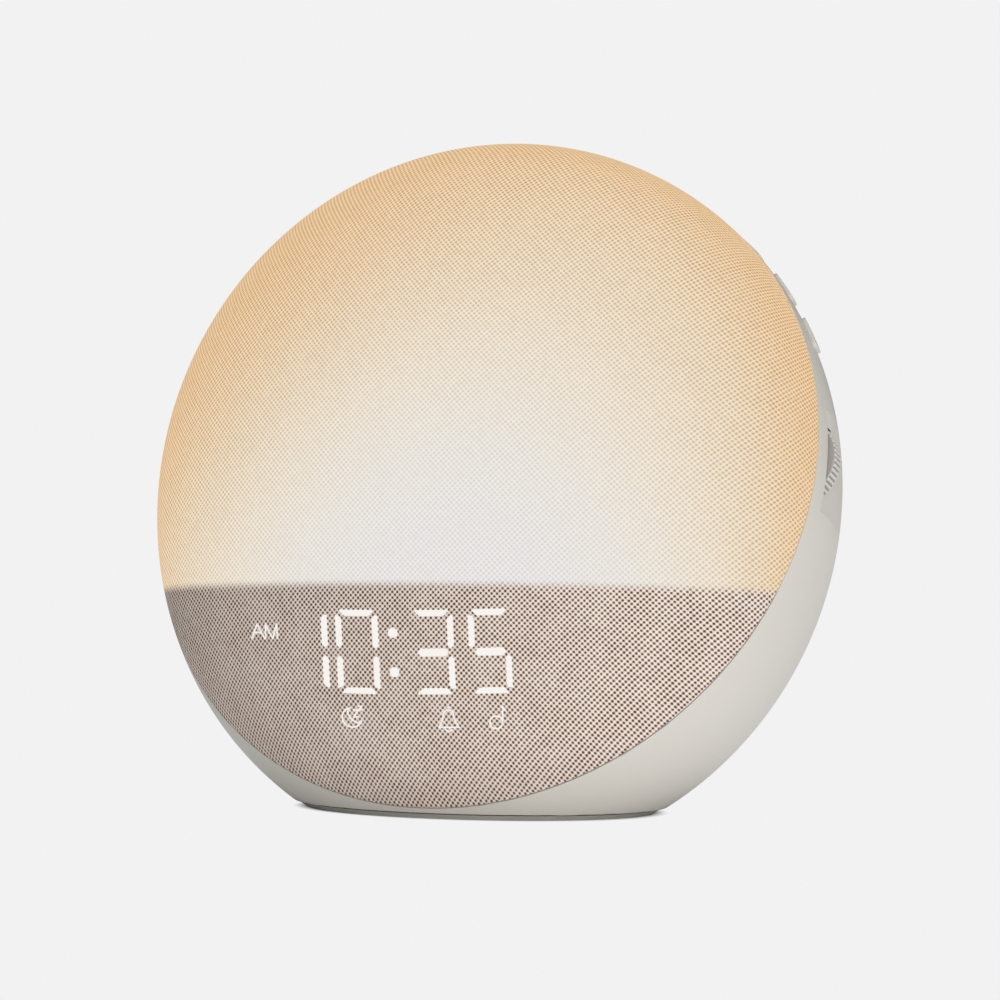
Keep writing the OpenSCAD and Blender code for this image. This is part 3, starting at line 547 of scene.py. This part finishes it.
def stroke_inside(x, y, start, end, width):
    """How far inside a round-ended line a point lies."""
    start, end = Vector(start) * MM, Vector(end) * MM
    run = end - start
    across, up = x - start.x, y - start.y
    share = ((across * run.x + up * run.y) / run.length_squared).most(0).least(1)
    off_x, off_y = across - share * run.x, up - share * run.y
    return width / 2 - (off_x * off_x + off_y * off_y).root()


def ring_inside(x, y, middle, radius, width):
    """How far inside the line of a circle a point lies."""
    across, up = x - middle[0] * MM, y - middle[1] * MM
    return width / 2 - abs((across * across + up * up).root() - radius * MM)


def disc_inside(x, y, middle, radius):
    across, up = x - middle[0] * MM, y - middle[1] * MM
    return radius * MM - (across * across + up * up).root()


def most_of(values):
    """The largest of several values."""
    values = list(values)
    result = values[0]
    for value in values[1:]:
        result = result.most(value)
    return result


def digits_inside(x, y, display):
    """How far inside a lit bar or the colon a point lies, from the digits' middle."""
    figures = display.time.replace(":", "")
    inner = display.colon_pitch / 2
    places = (-inner - display.first_pitch, -inner, inner, inner + display.digit_pitch)
    bars = [bar_inside(x - place, y, bar, display)
            for figure, place in zip(figures, places) for bar in BARS_OF[figure]]
    dot_x, dot_y = display.colon_off / MM, display.digit_h / MM / 4
    dots = [disc_inside(x, y, (dot_x, side * dot_y), COLON_DOT) for side in (-1, 1)]
    return most_of(bars + dots)


# The thin signs below and beside the digits, in millimetres from the digits' middle: strokes from end to
# end, and circles as middle and radius
SIGN_LINE = 0.46 * MM
SIGN_STROKES = (
    # A and M
    ((-37.0, 2.1), (-35.5, 6.0)), ((-35.5, 6.0), (-33.6, 2.4)), ((-36.3, 3.8), (-34.5, 3.9)),
    ((-33.4, 2.5), (-33.3, 6.2)), ((-33.3, 6.2), (-31.6, 2.6)), ((-31.6, 2.6), (-30.4, 6.4)),
    ((-30.4, 6.4), (-30.3, 2.7)),
    # Sides and foot line of the bell
    ((11.7, -16.2), (11.5, -17.2)), ((11.5, -17.2), (10.5, -19.2)), ((14.3, -16.2), (14.5, -17.2)),
    ((14.5, -17.2), (15.6, -19.2)), ((10.5, -19.3), (15.6, -19.3)),
    # Stem and flag of the note
    ((27.0, -18.0), (27.1, -14.1)), ((27.1, -14.1), (27.9, -15.2)),
    # Two small z
    ((-11.5, -15.0), (-10.3, -15.0)), ((-10.3, -15.0), (-11.5, -16.8)), ((-11.5, -16.8), (-10.3, -16.8)),
    ((-10.1, -14.0), (-9.3, -14.0)), ((-9.3, -14.0), (-10.1, -14.9)), ((-10.1, -14.9), (-9.3, -14.9)),
)
NOTE_HEAD = ((25.3, -18.2), 1.65)
BELL_CROWN, BELL_CROWN_END = ((13.0, -16.1), 1.35), -16.2
BELL_KNOB = ((13.1, -14.1), 0.35)
BELL_CLAPPER, BELL_CLAPPER_END = ((13.0, -19.5), 0.85), -19.7
MOON, MOON_BITE = ((-11.9, -17.0), 2.55), ((-10.2, -15.5), 2.75)


def signs_inside(x, y):
    """How far inside a line of the signs a point lies: the half of the day, moon, bell and note."""
    def ring(shape):
        return ring_inside(x, y, *shape, SIGN_LINE)

    lines = [stroke_inside(x, y, start, end, SIGN_LINE) for start, end in SIGN_STROKES]
    crown = ring(BELL_CROWN).least(y - BELL_CROWN_END * MM)
    knob = disc_inside(x, y, *BELL_KNOB)
    clapper = ring(BELL_CLAPPER).least(BELL_CLAPPER_END * MM - y)
    moon_outer = ring(MOON).least(SIGN_LINE - disc_inside(x, y, *MOON_BITE))
    moon_inner = ring(MOON_BITE).least(disc_inside(x, y, *MOON) + SIGN_LINE / 2)
    return most_of(lines + [crown, knob, clapper, moon_outer, moon_inner, ring(NOTE_HEAD)])


# Colours of the chamber's light against its warmth, as red, green and blue of 255
GLOW_STOPS = ((0.53, 226, 223, 221), (0.83, 227, 223, 215), (1.13, 228, 218, 201), (1.43, 224, 207, 181),
              (1.73, 222, 196, 161), (2.13, 220, 186, 143))
GLOW_MIDDLE = (24.3 * MM, -60 * MM)      # across and up the face
GLOW_SPREAD = (54.3 * MM, 70.6 * MM)


def weave(recipe, point, x, form_up):
    """Threads of the cloth: how high they lie, and how much of a hollow between them shows."""
    form, cloth = bpy.context.scene.clock_form, bpy.context.scene.clock_cloth
    # The cloth is pulled flat over the dome, a little askew, and wraps round its steep edge
    across, up = x / form.radius, form_up / form.radius
    reach = (across * across + up * up).root().least(1)
    arc = reach.arcsine()
    bulge, wrap = arc / reach - 1, (arc - 1.15).most(0) ** 2 * 0.5
    sunk = 1 - (1 - reach * reach).root()
    drawn_x = (x * (bulge * 0.057 + wrap + 0.98) + form_up * 0.02
               + (up * up * 0.02 + sunk * 0.057) * form.radius)
    drawn_up = form_up * (bulge * 0.036 + wrap + 0.986) - x * 0.026

    # Two families of threads at 45 degrees, with a hollow wherever four threads meet
    turn = 2 * math.pi * DIAGONAL / cloth.pitch
    waver = (recipe.noise(point, 90, 2) - 0.5) * 0.5
    hills = ((drawn_x + drawn_up) * turn + waver).cosine() + ((drawn_x - drawn_up) * turn + waver).cosine()
    speck = recipe.noise(point, 700, 1)
    patches = recipe.noise(point, 110, 2).step(0.3, 0.7)
    hollows = (hills + (speck - 0.5) * 1.1).step(-0.8, 1.6) * (patches * 0.08 + 0.95)
    return hills, hollows, speck, patches


def chamber_light(recipe, x, form_up, face_up, hollows):
    """Colour of the light behind the cloth: white near the shelf, amber at the rim."""
    form = bpy.context.scene.clock_form
    spread_x = (x - GLOW_MIDDLE[0]) / GLOW_SPREAD[0]
    spread_up = (face_up - GLOW_MIDDLE[1]) / GLOW_SPREAD[1]
    rim = ((x * x + form_up * form_up) / form.radius ** 2) ** 8
    # Warmer at the upper left and the lower right
    across, height = x / form.radius, face_up / form.radius
    askew = across * 0.08 + height * 0.18 - across * height * 0.5 - height * height * 0.3
    warmth = (spread_x * spread_x + spread_up * spread_up).root() + rim * 0.55 + askew + 0.05
    least, most = GLOW_STOPS[0][0], GLOW_STOPS[-1][0]
    glow = recipe.node("ShaderNodeValToRGB", {"stops": [
        ((at - least) / (most - least), linear([v / 255 for v in rgb])) for at, *rgb in GLOW_STOPS]},
        {0: (warmth - least) / (most - least)})
    # The weave shows more towards the rim
    depth = (warmth - 0.7).step(0, 1.2) * 0.3 + 0.15
    return recipe.mix((hollows - 0.42) * depth + 0.5, recipe.tint(glow, (1.6, 1.66, 1.78, 1)),
                      recipe.tint(glow, (0.4, 0.32, 0.2, 1)))


def display_light(x, y, z, hills, hollows):
    """Where the display's light falls on the bulging cloth, which it lights up through the weave."""
    lit_x = x * 0.987 + y * 0.55 + z * 0.059 + 31.84 * MM
    lit_y = z * 1.058 - y * 0.101 - x * 0.024 + 29.35 * MM
    ragged = hills * (0.04 * MM)
    display = bpy.context.scene.clock_display
    bars = (digits_inside(lit_x, lit_y, display) - ragged).step(-0.14 * MM, 0.14 * MM)
    signs = (signs_inside(lit_x, lit_y) - ragged * 0.3).step(-0.1 * MM, 0.1 * MM) * (1 - hollows * 0.12)
    return bars.most(signs)


def cloth_material():
    """Mesh cloth, lit from behind above the shelf and by the display's bars below it."""
    scene = bpy.context.scene
    form, cloth, display = scene.clock_form, scene.clock_cloth, scene.clock_display
    recipe = Recipe("lit_mesh_cloth")
    point = recipe.point()
    x, y, z = recipe.axes(point)
    z = z - centre().z
    form_up = y * math.sin(form.tilt) + z * math.cos(form.tilt)
    face_up = y * math.sin(form.face_tilt) + z * math.cos(form.face_tilt)
    hills, hollows, speck, patches = weave(recipe, point, x, form_up)

    above_edge = z + y * math.tan(cloth.light_tilt) - x * math.tan(cloth.light_slope) + cloth.light_drop
    chamber = above_edge.step(-1.3 * MM, 1.3 * MM)
    shown = display_light(x, y, z, hills, hollows)

    red, green, blue = cloth.thread
    worn = linear((red * 0.985, green * 0.975, blue * 0.975))
    thread = recipe.mix(patches, linear(cloth.thread), worn)
    plain = recipe.mix(hollows, thread, linear(cloth.hollow))
    base = recipe.mix(chamber.most(shown), plain, linear((0.16, 0.15, 0.14)))
    glow = recipe.mix(chamber, (0, 0, 0, 1), chamber_light(recipe, x, form_up, face_up, hollows))
    emitted = recipe.mix(shown, glow, linear(display.lit))
    relief = (1 - hollows) + speck * 0.15
    return recipe.surface(
        Base_Color=base, Roughness=0.85 - hollows * 0.1, Emission_Color=emitted, Emission_Strength=1.0,
        Normal=recipe.bump(relief, 0.12 * MM, 0.6), Specular_IOR_Level=0.25)


# ---- Other finishes -----------------------------------------------------------------------


def scaled(colour_, factor):
    """A written colour made darker or lighter, for the shader."""
    return linear([v * factor for v in colour_])


def satin(recipe, point, colour_, roughness=0.45, grain=0.003, tone=0.02):
    """Moulded plastic's colour with faint changes of tone, its roughness and its spark-eroded grain."""
    tone_noise = recipe.noise(point, 14, 3).step(0.3, 0.7)
    base = recipe.mix(tone_noise, scaled(colour_, 1 - tone / 2), linear(colour_))
    smudge = recipe.noise(point, 30, 4)
    fine = recipe.noise(point, 2600, 2)
    return base, roughness + (smudge - 0.5) * 0.1, recipe.bump(fine, grain * MM, 0.5)


def moulded(name, colour_, roughness=0.45, grain=0.003, tone=0.02):
    recipe = Recipe(name)
    base, rough, relief = satin(recipe, recipe.point(), colour_, roughness, grain, tone)
    return recipe.surface(Base_Color=base, Roughness=rough, Normal=relief, Specular_IOR_Level=0.4)


def from_wheel_axis(recipe, point):
    """Distance of a surface point from the nearer thumb wheel's axis, and its place along the face's axis."""
    form, controls = bpy.context.scene.clock_form, bpy.context.scene.clock_controls
    x, y, z = recipe.axes(point)
    z = z - centre().z
    across = abs(x) - wheel_centre_x()
    up = y * math.sin(form.face_tilt) + z * math.cos(form.face_tilt) - controls.wheel_up
    forward = z * math.sin(form.face_tilt) - y * math.cos(form.face_tilt)
    return (across * across + up * up).root(), forward


def shell_plastic(name, colour_):
    """The housing's plastic, with painted shade inside the slots of the thumb wheels."""
    controls = bpy.context.scene.clock_controls
    recipe = Recipe(name)
    point = recipe.point()
    radial, forward = from_wheel_axis(recipe, point)
    half = controls.wheel_t / 2
    # Painted shade: the shell is darkened where it lines a wheel's slot, so the gaps round the wheel's ends
    # look dark
    within = (half + 0.35 * MM - abs(forward - (WHEEL_FRONT - half))).step(0, 0.15 * MM)
    slot_shade = within * (controls.wheel_r + 0.62 * MM - radial).step(0, 0.12 * MM)
    plain, rough, relief = satin(recipe, point, colour_)
    return recipe.surface(Base_Color=recipe.mix(slot_shade, plain, scaled(colour_, 0.25)), Roughness=rough,
                          Normal=relief, Specular_IOR_Level=0.4)


def wheel_plastic(name, colour_):
    """A thumb wheel's plastic: pale ridges, with painted shade in the grooves and a lighter painted shade on
    the flat side.
    """
    controls = bpy.context.scene.clock_controls
    recipe = Recipe(name)
    point = recipe.point()
    radial, forward = from_wheel_axis(recipe, point)
    # Painted shade: below the ridges' tips the colour darkens, most in the grooves and less on the flat side
    inside = (controls.wheel_r - radial).step(0.08 * MM, 0.4 * MM)
    front = (forward - WHEEL_FRONT).step(-0.5 * MM, -0.2 * MM)
    painted_shade = recipe.mix(front, scaled(colour_, 0.5), scaled(colour_, 0.8))
    worn = recipe.noise(point, 200, 3)
    return recipe.surface(Base_Color=recipe.mix(inside, linear(colour_), painted_shade), Roughness=0.4 + worn * 0.1,
                          Normal=recipe.bump(worn, 0.003 * MM, 0.5), Specular_IOR_Level=0.4)


def translucent_dome(name, colour_):
    recipe = Recipe(name)
    cloud = recipe.noise(recipe.point(), 60, 3)
    return recipe.surface(
        Base_Color=recipe.mix(cloud, linear(colour_), scaled(colour_, 0.96)),
        Roughness=0.5 + cloud * 0.1, Subsurface_Weight=0.3, Subsurface_Radius=(0.004, 0.003, 0.002))


def circuit_board(name, colour_):
    """Green board with copper tracks under the solder mask."""
    recipe = Recipe(name)
    cell = recipe.node("ShaderNodeTexVoronoi", {"distance": "MANHATTAN", "feature": "F1"},
                       {"Vector": recipe.point(), "Scale": 420}, "Distance")
    tracks = abs(cell - 0.55).step(0.12, 0.05)
    base = recipe.mix(tracks, linear(colour_), scaled(colour_, 1.35))
    return recipe.surface(Base_Color=base, Roughness=0.3 + tracks * 0.08,
                          Normal=recipe.bump(tracks, 0.03 * MM, 0.5), Coat_Weight=0.4)


def lens(name, colour_):
    recipe = Recipe(name)
    grain = recipe.noise(recipe.point(), 900, 1)
    return recipe.surface(Base_Color=recipe.mix(grain, linear(colour_), scaled(colour_, 0.95)),
                          Roughness=0.15 + grain * 0.1, Coat_Weight=0.5)


def steel(name, colour_, roughness=0.32):
    """Plated steel with fine turning marks."""
    recipe = Recipe(name)
    stretched = recipe.node("ShaderNodeMapping", {}, {"Vector": recipe.point(), "Scale": (1, 1, 9)})
    marks = recipe.noise(stretched, 700, 3)
    return recipe.surface(
        Base_Color=recipe.mix(marks, linear(colour_), scaled(colour_, 0.86)),
        Metallic=1.0, Roughness=roughness + marks * 0.16, Normal=recipe.bump(marks, 0.01 * MM, 0.4))


def rubber(name, colour_, roughness=0.75):
    recipe = Recipe(name)
    grain = recipe.noise(recipe.point(), 1500, 3)
    return recipe.surface(
        Base_Color=recipe.mix(grain, linear(colour_), scaled(colour_, 0.93)),
        Roughness=roughness + grain * 0.1, Normal=recipe.bump(grain, 0.04 * MM, 0.5))


def pressed_paper(name, colour_):
    recipe = Recipe(name)
    fibre = recipe.noise(recipe.point(), 500, 6, 0.7)
    return recipe.surface(
        Base_Color=recipe.mix(fibre, linear(colour_), scaled(colour_, 1.6)),
        Roughness=0.9, Normal=recipe.bump(fibre, 0.08 * MM, 0.6))


def wire_mesh(name, colour_):
    """Fine woven mesh behind the speaker's holes."""
    recipe = Recipe(name)
    x, _, z = recipe.axes(recipe.point())
    turn = 2 * math.pi / (0.5 * MM)
    grid = (x * turn).cosine().most((z * turn).cosine())
    wires = grid.step(0.2, 0.8)
    return recipe.surface(
        Base_Color=recipe.mix(wires, scaled(colour_, 0.3), linear(colour_)),
        Roughness=0.7 - wires * 0.2, Normal=recipe.bump(wires, 0.08 * MM, 0.7))


# ---- Pieces -------------------------------------------------------------------------------


def make_cloth():
    """The cloth as one sheet, stretched over the dome and turned in at its edge."""
    form, cloth = bpy.context.scene.clock_form, bpy.context.scene.clock_cloth
    piece = pebble("cloth_face")
    face_slice(piece, form.face_plane, -1, fill=False)
    # Hem: the open edge is drawn inwards in the parting plane
    bpy.ops.object.mode_set(mode="EDIT")
    bpy.ops.mesh.select_mode(type="EDGE")
    bpy.ops.mesh.select_all(action="DESELECT")
    bpy.ops.mesh.select_non_manifold(extend=False, use_wire=False, use_boundary=True,
                                     use_multi_face=False, use_non_contiguous=False, use_verts=False)
    share = 1 - cloth.hem / form.radius
    middle = face_frame() @ Vector((0, 0, form.face_plane))
    bpy.ops.mesh.extrude_edges_move()
    bpy.ops.transform.resize(value=(share, share, share), center_override=middle)
    bpy.ops.object.mode_set(mode="OBJECT")
    finish_with(piece, "SOLIDIFY", thickness=cloth.thickness, offset=-1, use_even_offset=True)
    soften_edges(piece, 0.3 * MM, segments=3, degrees=50)
    smooth(piece, 40)
    dress(piece, cloth_material())
    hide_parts("front_cloth")
    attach(piece, BODY)


def thumb_rest_block(side):
    """The space that a thumb rest takes out of the pebble."""
    form, controls = bpy.context.scene.clock_form, bpy.context.scene.clock_controls
    inner = form.radius - controls.rest_depth
    half = controls.rest_h / 2
    low = (inner, controls.wheel_up - half, -2 * form.radius)
    high = (2 * form.radius, controls.wheel_up + half, WHEEL_FRONT + REST_MARGIN)
    if side < 0:
        low, high = (-high[0], low[1], low[2]), (-low[0], high[1], high[2])
    return block("thumb_rest", low, high, face_frame())


def wheel_centre_x():
    form, controls = bpy.context.scene.clock_form, bpy.context.scene.clock_controls
    turn = math.asin(controls.wheel_up / form.radius)
    return rim_point(turn, WHEEL_CREST).x + WHEEL_PROUD - controls.wheel_r


def key_cutter(turn, length_, depth, mirrored):
    wall = bpy.context.scene.clock_form.wall
    size = (depth + 2 * KEY_GAP, length_ + 2 * KEY_GAP, (-4 * wall, 4 * wall))
    return tablet("key_opening", size, KEY_CORNER + KEY_GAP, key_frame(turn, depth, mirrored))


def key_turns():
    controls = bpy.context.scene.clock_controls
    return [controls.key_first + i * controls.key_step for i in range(controls.key_count)]


def inlet_frame(height):
    """The power inlet's axis, out of the back."""
    return Matrix.Translation((0, 0, height)) @ Matrix.Rotation(-math.pi / 2, 4, "X")


def make_housing():
    """The moulded shell behind the cloth: thumb rests, and openings for keys, wheels, speaker and inlet."""
    form, controls = bpy.context.scene.clock_form, bpy.context.scene.clock_controls
    piece = pebble("rear_shell")
    for side in (-1, 1):
        cut_away(piece, thumb_rest_block(side))
    face_slice(piece, form.face_plane - form.seam_gap, 1, fill=False)
    slice_off(piece, (0, 0, form.pad_t + PAD_GAP), (0, 0, -1), fill=False)
    finish_with(piece, "SOLIDIFY", thickness=form.wall, offset=-1, use_even_offset=True)

    # Hole round the power inlet's cup, whose inner flange is a little wider than the hole
    cup_low, cup_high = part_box("inlet_cup")
    hole_r = (cup_high.x - cup_low.x) / 2 - CUP_FLANGE
    cut_away(piece, rod("cup_hole", hole_r, form.half_depth, inlet_frame((cup_high.z + cup_low.z) / 2)))

    # Opening under the speaker's grille
    grille_low, grille_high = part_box("speaker_grille")
    grille_r = (grille_high.x - grille_low.x) / 2
    cut_away(piece, rod("speaker_opening", grille_r + GRILLE_GAP, form.half_depth,
                        form_frame() @ Matrix.Translation((0, 0, -1.2 * form.half_depth))))

    for side in (-1, 1):
        slot_back = (side * wheel_centre_x(), controls.wheel_up, WHEEL_FRONT - controls.wheel_t - WHEEL_GAP)
        cut_away(piece, rod("wheel_slot", controls.wheel_r + WHEEL_GAP, controls.wheel_t + 2 * WHEEL_GAP,
                            face_frame() @ Matrix.Translation(slot_back)))
        for turn in key_turns():
            cut_away(piece, key_cutter(turn, controls.key_l, controls.key_d, side < 0))
    cut_away(piece, key_cutter(math.pi / 2, controls.snooze_l, controls.snooze_d, False))
    soften_edges(piece, 0.25 * MM)
    smooth(piece)
    dress(piece, shell_plastic("shell_plastic", bpy.context.scene.clock_finish.shell))
    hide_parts("rear_housing")
    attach(piece, BODY)


def make_key(name, turn, length_, key_depth, mirrored, material):
    """A key cap whose crown follows the pebble, with a soft edge."""
    form, controls = bpy.context.scene.clock_form, bpy.context.scene.clock_controls
    # Down to the key's flange, below the wall and its drop over the key's length
    depth = form.wall + KEY_FLANGE + length_ ** 2 / (8 * (form.radius - form.wall))
    place = key_frame(turn, key_depth, mirrored)
    piece = tablet(name + "_cap", (key_depth, length_, (-depth, 2 * depth)), KEY_CORNER, place)
    keep_inside(piece, pebble("crown", inset=-controls.key_rise))
    soften_edges(piece, 0.45 * MM, segments=3, degrees=50)
    smooth(piece, 36)
    dress(piece, material)
    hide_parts(name)
    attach(piece, name)


FINISH_OF = {
    "shell": ("speaker_grille", "base_plate", "inlet_cup"),
    "pad": ("base_pad",),
    "dark": ("rim_ring", "display_block", "key_switches", "wheel_carrier_right", "wheel_carrier_left",
             "cell_holder", "power_jack"),
    "white": ("divider_shelf", "reflector", "led_board"),
    "chassis": ("chassis",),
    "dome": ("diffuser_dome",),
    "window": ("display_window",),
    "lens": ("leds", "display_segments"),
    "board": ("display_board", "key_board_right", "key_board_left", "key_board_top", "main_board"),
    "chip": ("board_chips",),
    "basket": ("speaker_basket", "speaker_magnet"),
    "paper": ("speaker_cone",),
    "gasket": ("speaker_gasket",),
    "mesh": ("grille_mesh",),
    "steel": ("board_spacers", "coin_cell", "jack_nut", "chassis_screws", "base_screws", "speaker_screws"),
    "wheel": ("wheel_right", "wheel_left"),
}


def finishes():
    """A material for each finish of the CAD parts that stay as they are."""
    finish = bpy.context.scene.clock_finish
    return {
        "shell": moulded("base_plastic", finish.shell),
        "pad": rubber("foot_pad", finish.pad),
        "dark": moulded("black_plastic", finish.dark, 0.5),
        "white": moulded("white_chamber", (0.95, 0.95, 0.93), 0.6),
        "chassis": moulded("chassis_plastic", (0.86, 0.85, 0.82), 0.5),
        "dome": translucent_dome("milky_dome", (0.96, 0.95, 0.91)),
        "window": translucent_dome("smoked_window", (0.36, 0.32, 0.3)),
        "lens": lens("clear_lens", (0.98, 0.96, 0.88)),
        "board": circuit_board("green_board", finish.board),
        "chip": moulded("chip_epoxy", (0.05, 0.05, 0.055), 0.35),
        "basket": steel("blackened_steel", (0.2, 0.2, 0.21), 0.45),
        "paper": pressed_paper("cone_paper", (0.08, 0.08, 0.08)),
        "gasket": rubber("gasket_foam", (0.09, 0.09, 0.09), 0.9),
        "mesh": wire_mesh("speaker_mesh", (0.2, 0.2, 0.2)),
        "steel": steel("plated_steel", (0.72, 0.72, 0.73)),
        "wheel": wheel_plastic("wheel_plastic", finish.shell),
    }


def dress_parts():
    made = finishes()
    for finish, names in FINISH_OF.items():
        for name in names:
            dress(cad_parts[name], made[finish])


# ---- Stage --------------------------------------------------------------------------------


def towards(azimuth, elevation):
    """Direction from the clock to what stands to the right of its front and above it."""
    level = math.cos(elevation)
    return Vector((math.sin(azimuth) * level, -math.cos(azimuth) * level, math.sin(elevation)))


def make_camera():
    stage = bpy.context.scene.clock_stage
    back = towards(stage.azimuth, stage.elevation)
    bpy.ops.object.camera_add(location=centre() + back * stage.distance)
    camera = bpy.context.object
    camera.rotation_euler = back.to_track_quat("Z", "Y").to_euler()
    camera.data.lens = stage.lens
    camera.data.sensor_width = 36
    camera.data.shift_x, camera.data.shift_y = stage.shift
    camera.data.clip_end = 20
    bpy.context.scene.camera = camera


def make_lamp(name, azimuth, elevation, watts):
    """A soft box that looks at the clock."""
    stage = bpy.context.scene.clock_stage
    back = towards(math.radians(azimuth), math.radians(elevation))
    bpy.ops.object.light_add(type="AREA", location=centre() + back * stage.lamp_distance)
    lamp = bpy.context.object
    lamp.name = name
    lamp.rotation_euler = back.to_track_quat("Z", "Y").to_euler()
    lamp.data.shape = "DISK"
    lamp.data.size = stage.lamp_size
    lamp.data.energy = watts


def backdrop_world():
    """Even white light, and the plain backdrop where the camera sees it."""
    stage = bpy.context.scene.clock_stage
    world = bpy.data.worlds.new("studio")
    bpy.context.scene.world = world
    world.use_nodes = True
    tree = world.node_tree
    tree.nodes.clear()
    path = tree.nodes.new("ShaderNodeLightPath")
    seen = tree.nodes.new("ShaderNodeMath")
    seen.operation = "MAXIMUM"
    tree.links.new(path.outputs["Is Camera Ray"], seen.inputs[0])
    tree.links.new(path.outputs["Is Transmission Ray"], seen.inputs[1])
    soft, plain = (tree.nodes.new("ShaderNodeBackground") for _ in range(2))
    soft.inputs["Color"].default_value = (1, 1, 1, 1)
    soft.inputs["Strength"].default_value = stage.ambient
    plain.inputs["Color"].default_value = linear(stage.backdrop)
    both = tree.nodes.new("ShaderNodeMixShader")
    tree.links.new(seen.outputs[0], both.inputs[0])
    tree.links.new(soft.outputs[0], both.inputs[1])
    tree.links.new(plain.outputs[0], both.inputs[2])
    out = tree.nodes.new("ShaderNodeOutputWorld")
    tree.links.new(both.outputs[0], out.inputs["Surface"])


def floor_material():
    """Pale floor with a close shadow round the clock's foot, which fades into the backdrop."""
    stage = bpy.context.scene.clock_stage
    foot_low, foot_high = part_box("base_pad")
    half_x, half_y = (foot_high.x - foot_low.x) / 2, (foot_high.y - foot_low.y) / 2
    recipe = Recipe("pale_floor")
    x, y, _ = recipe.axes(recipe.point())
    across, along = x / half_x, (y - (foot_low.y + foot_high.y) / 2) / half_y
    away = (across * across + along * along).root()
    seen = recipe.node("ShaderNodeLightPath", output="Is Camera Ray")
    close, wide = away.step(0.93, 1.05), away.step(0.9, 2.1)
    plain_share = wide + (close - wide) * seen
    # The light that the floor throws back is weaker on the left
    bounce = (x.step(-0.2, 0.08) * 0.3 + 0.7).most(seen)
    pale = recipe.node("ShaderNodeBsdfDiffuse", {}, {"Color": linear(stage.backdrop)})
    plain = recipe.node("ShaderNodeEmission", {}, {"Color": linear(stage.backdrop), "Strength": bounce})
    shader = recipe.node("ShaderNodeMixShader", {}, {0: plain_share, 1: pale, 2: plain})
    return recipe.ended_by(shader)


def make_floor():
    bpy.ops.mesh.primitive_circle_add(vertices=128, radius=3, fill_type="NGON", location=(0, 0, TABLE_TOP))
    floor = bpy.context.object
    floor.name = "floor"
    settle(floor, Matrix.Identity(4))
    dress(floor, floor_material())


# ---- Operators ----------------------------------------------------------------------------


class CLOCK_OT_cloth_face(bpy.types.Operator):
    """Stretch the lit mesh cloth over the dome"""

    bl_idname = "clock.cloth_face"
    bl_label = "Cloth face"

    def execute(self, context):
        make_cloth()
        return {"FINISHED"}


class CLOCK_OT_rear_shell(bpy.types.Operator):
    """Model the moulded shell behind the cloth"""

    bl_idname = "clock.rear_shell"
    bl_label = "Rear shell"

    def execute(self, context):
        make_housing()
        return {"FINISHED"}


class CLOCK_OT_keys(bpy.types.Operator):
    """Model the shoulder keys and the snooze bar"""

    bl_idname = "clock.keys"
    bl_label = "Keys"

    def execute(self, context):
        controls = context.scene.clock_controls
        material = moulded("key_plastic", context.scene.clock_finish.shell, 0.5, grain=0.001)
        for side in ("right", "left"):
            for i, turn in enumerate(key_turns()):
                name = f"key_{side}_{i + 1}"
                make_key(name, turn, controls.key_l, controls.key_d, side == "left", material)
        make_key("snooze_bar", math.pi / 2, controls.snooze_l, controls.snooze_d, False, material)
        return {"FINISHED"}


class CLOCK_OT_part_finishes(bpy.types.Operator):
    """Give every other part its finish"""

    bl_idname = "clock.part_finishes"
    bl_label = "Part finishes"

    def execute(self, context):
        dress_parts()
        return {"FINISHED"}


class CLOCK_OT_stage(bpy.types.Operator):
    """Set up the camera, the floor, the backdrop and the lamps"""

    bl_idname = "clock.stage"
    bl_label = "Stage"

    def execute(self, context):
        context.scene.view_settings.view_transform = "Standard"
        make_camera()
        make_floor()
        backdrop_world()
        make_lamp("front_lamp", azimuth=38, elevation=14, watts=16.5)
        make_lamp("side_lamp", azimuth=110, elevation=60, watts=5)
        make_lamp("left_lamp", azimuth=-60, elevation=50, watts=1)
        return {"FINISHED"}


class CLOCK_PT_panel(bpy.types.Panel):
    """Lists the clock's pieces and their sizes"""

    bl_idname = "CLOCK_PT_panel"
    bl_label = "Alarm clock"
    bl_space_type = "VIEW_3D"
    bl_region_type = "UI"
    bl_category = "Alarm clock"

    def draw(self, context):
        for operator in OPERATORS:
            self.layout.operator(operator.bl_idname)
        for group in GROUPS:
            box = self.layout.box()
            for key in GROUPS[group].__annotations__:
                box.prop(getattr(context.scene, group), key)


GROUPS = {
    "clock_form": ClockForm, "clock_cloth": ClockCloth, "clock_display": ClockDisplay,
    "clock_controls": ClockControls, "clock_finish": ClockFinish, "clock_stage": ClockStage,
}
OPERATORS = (CLOCK_OT_cloth_face, CLOCK_OT_rear_shell, CLOCK_OT_keys, CLOCK_OT_part_finishes, CLOCK_OT_stage)


def register():
    for made in (*GROUPS.values(), *OPERATORS, CLOCK_PT_panel):
        bpy.utils.register_class(made)
    for name, group in GROUPS.items():
        setattr(bpy.types.Scene, name, PointerProperty(type=group))


def unregister():
    for name in GROUPS:
        delattr(bpy.types.Scene, name)
    for made in (CLOCK_PT_panel, *reversed(OPERATORS), *reversed(list(GROUPS.values()))):
        bpy.utils.unregister_class(made)


def main():
    register()
    bpy.ops.clock.part_finishes()
    bpy.ops.clock.cloth_face()
    bpy.ops.clock.rear_shell()
    bpy.ops.clock.keys()
    bpy.ops.clock.stage()


if __name__ == "__main__":
    main()
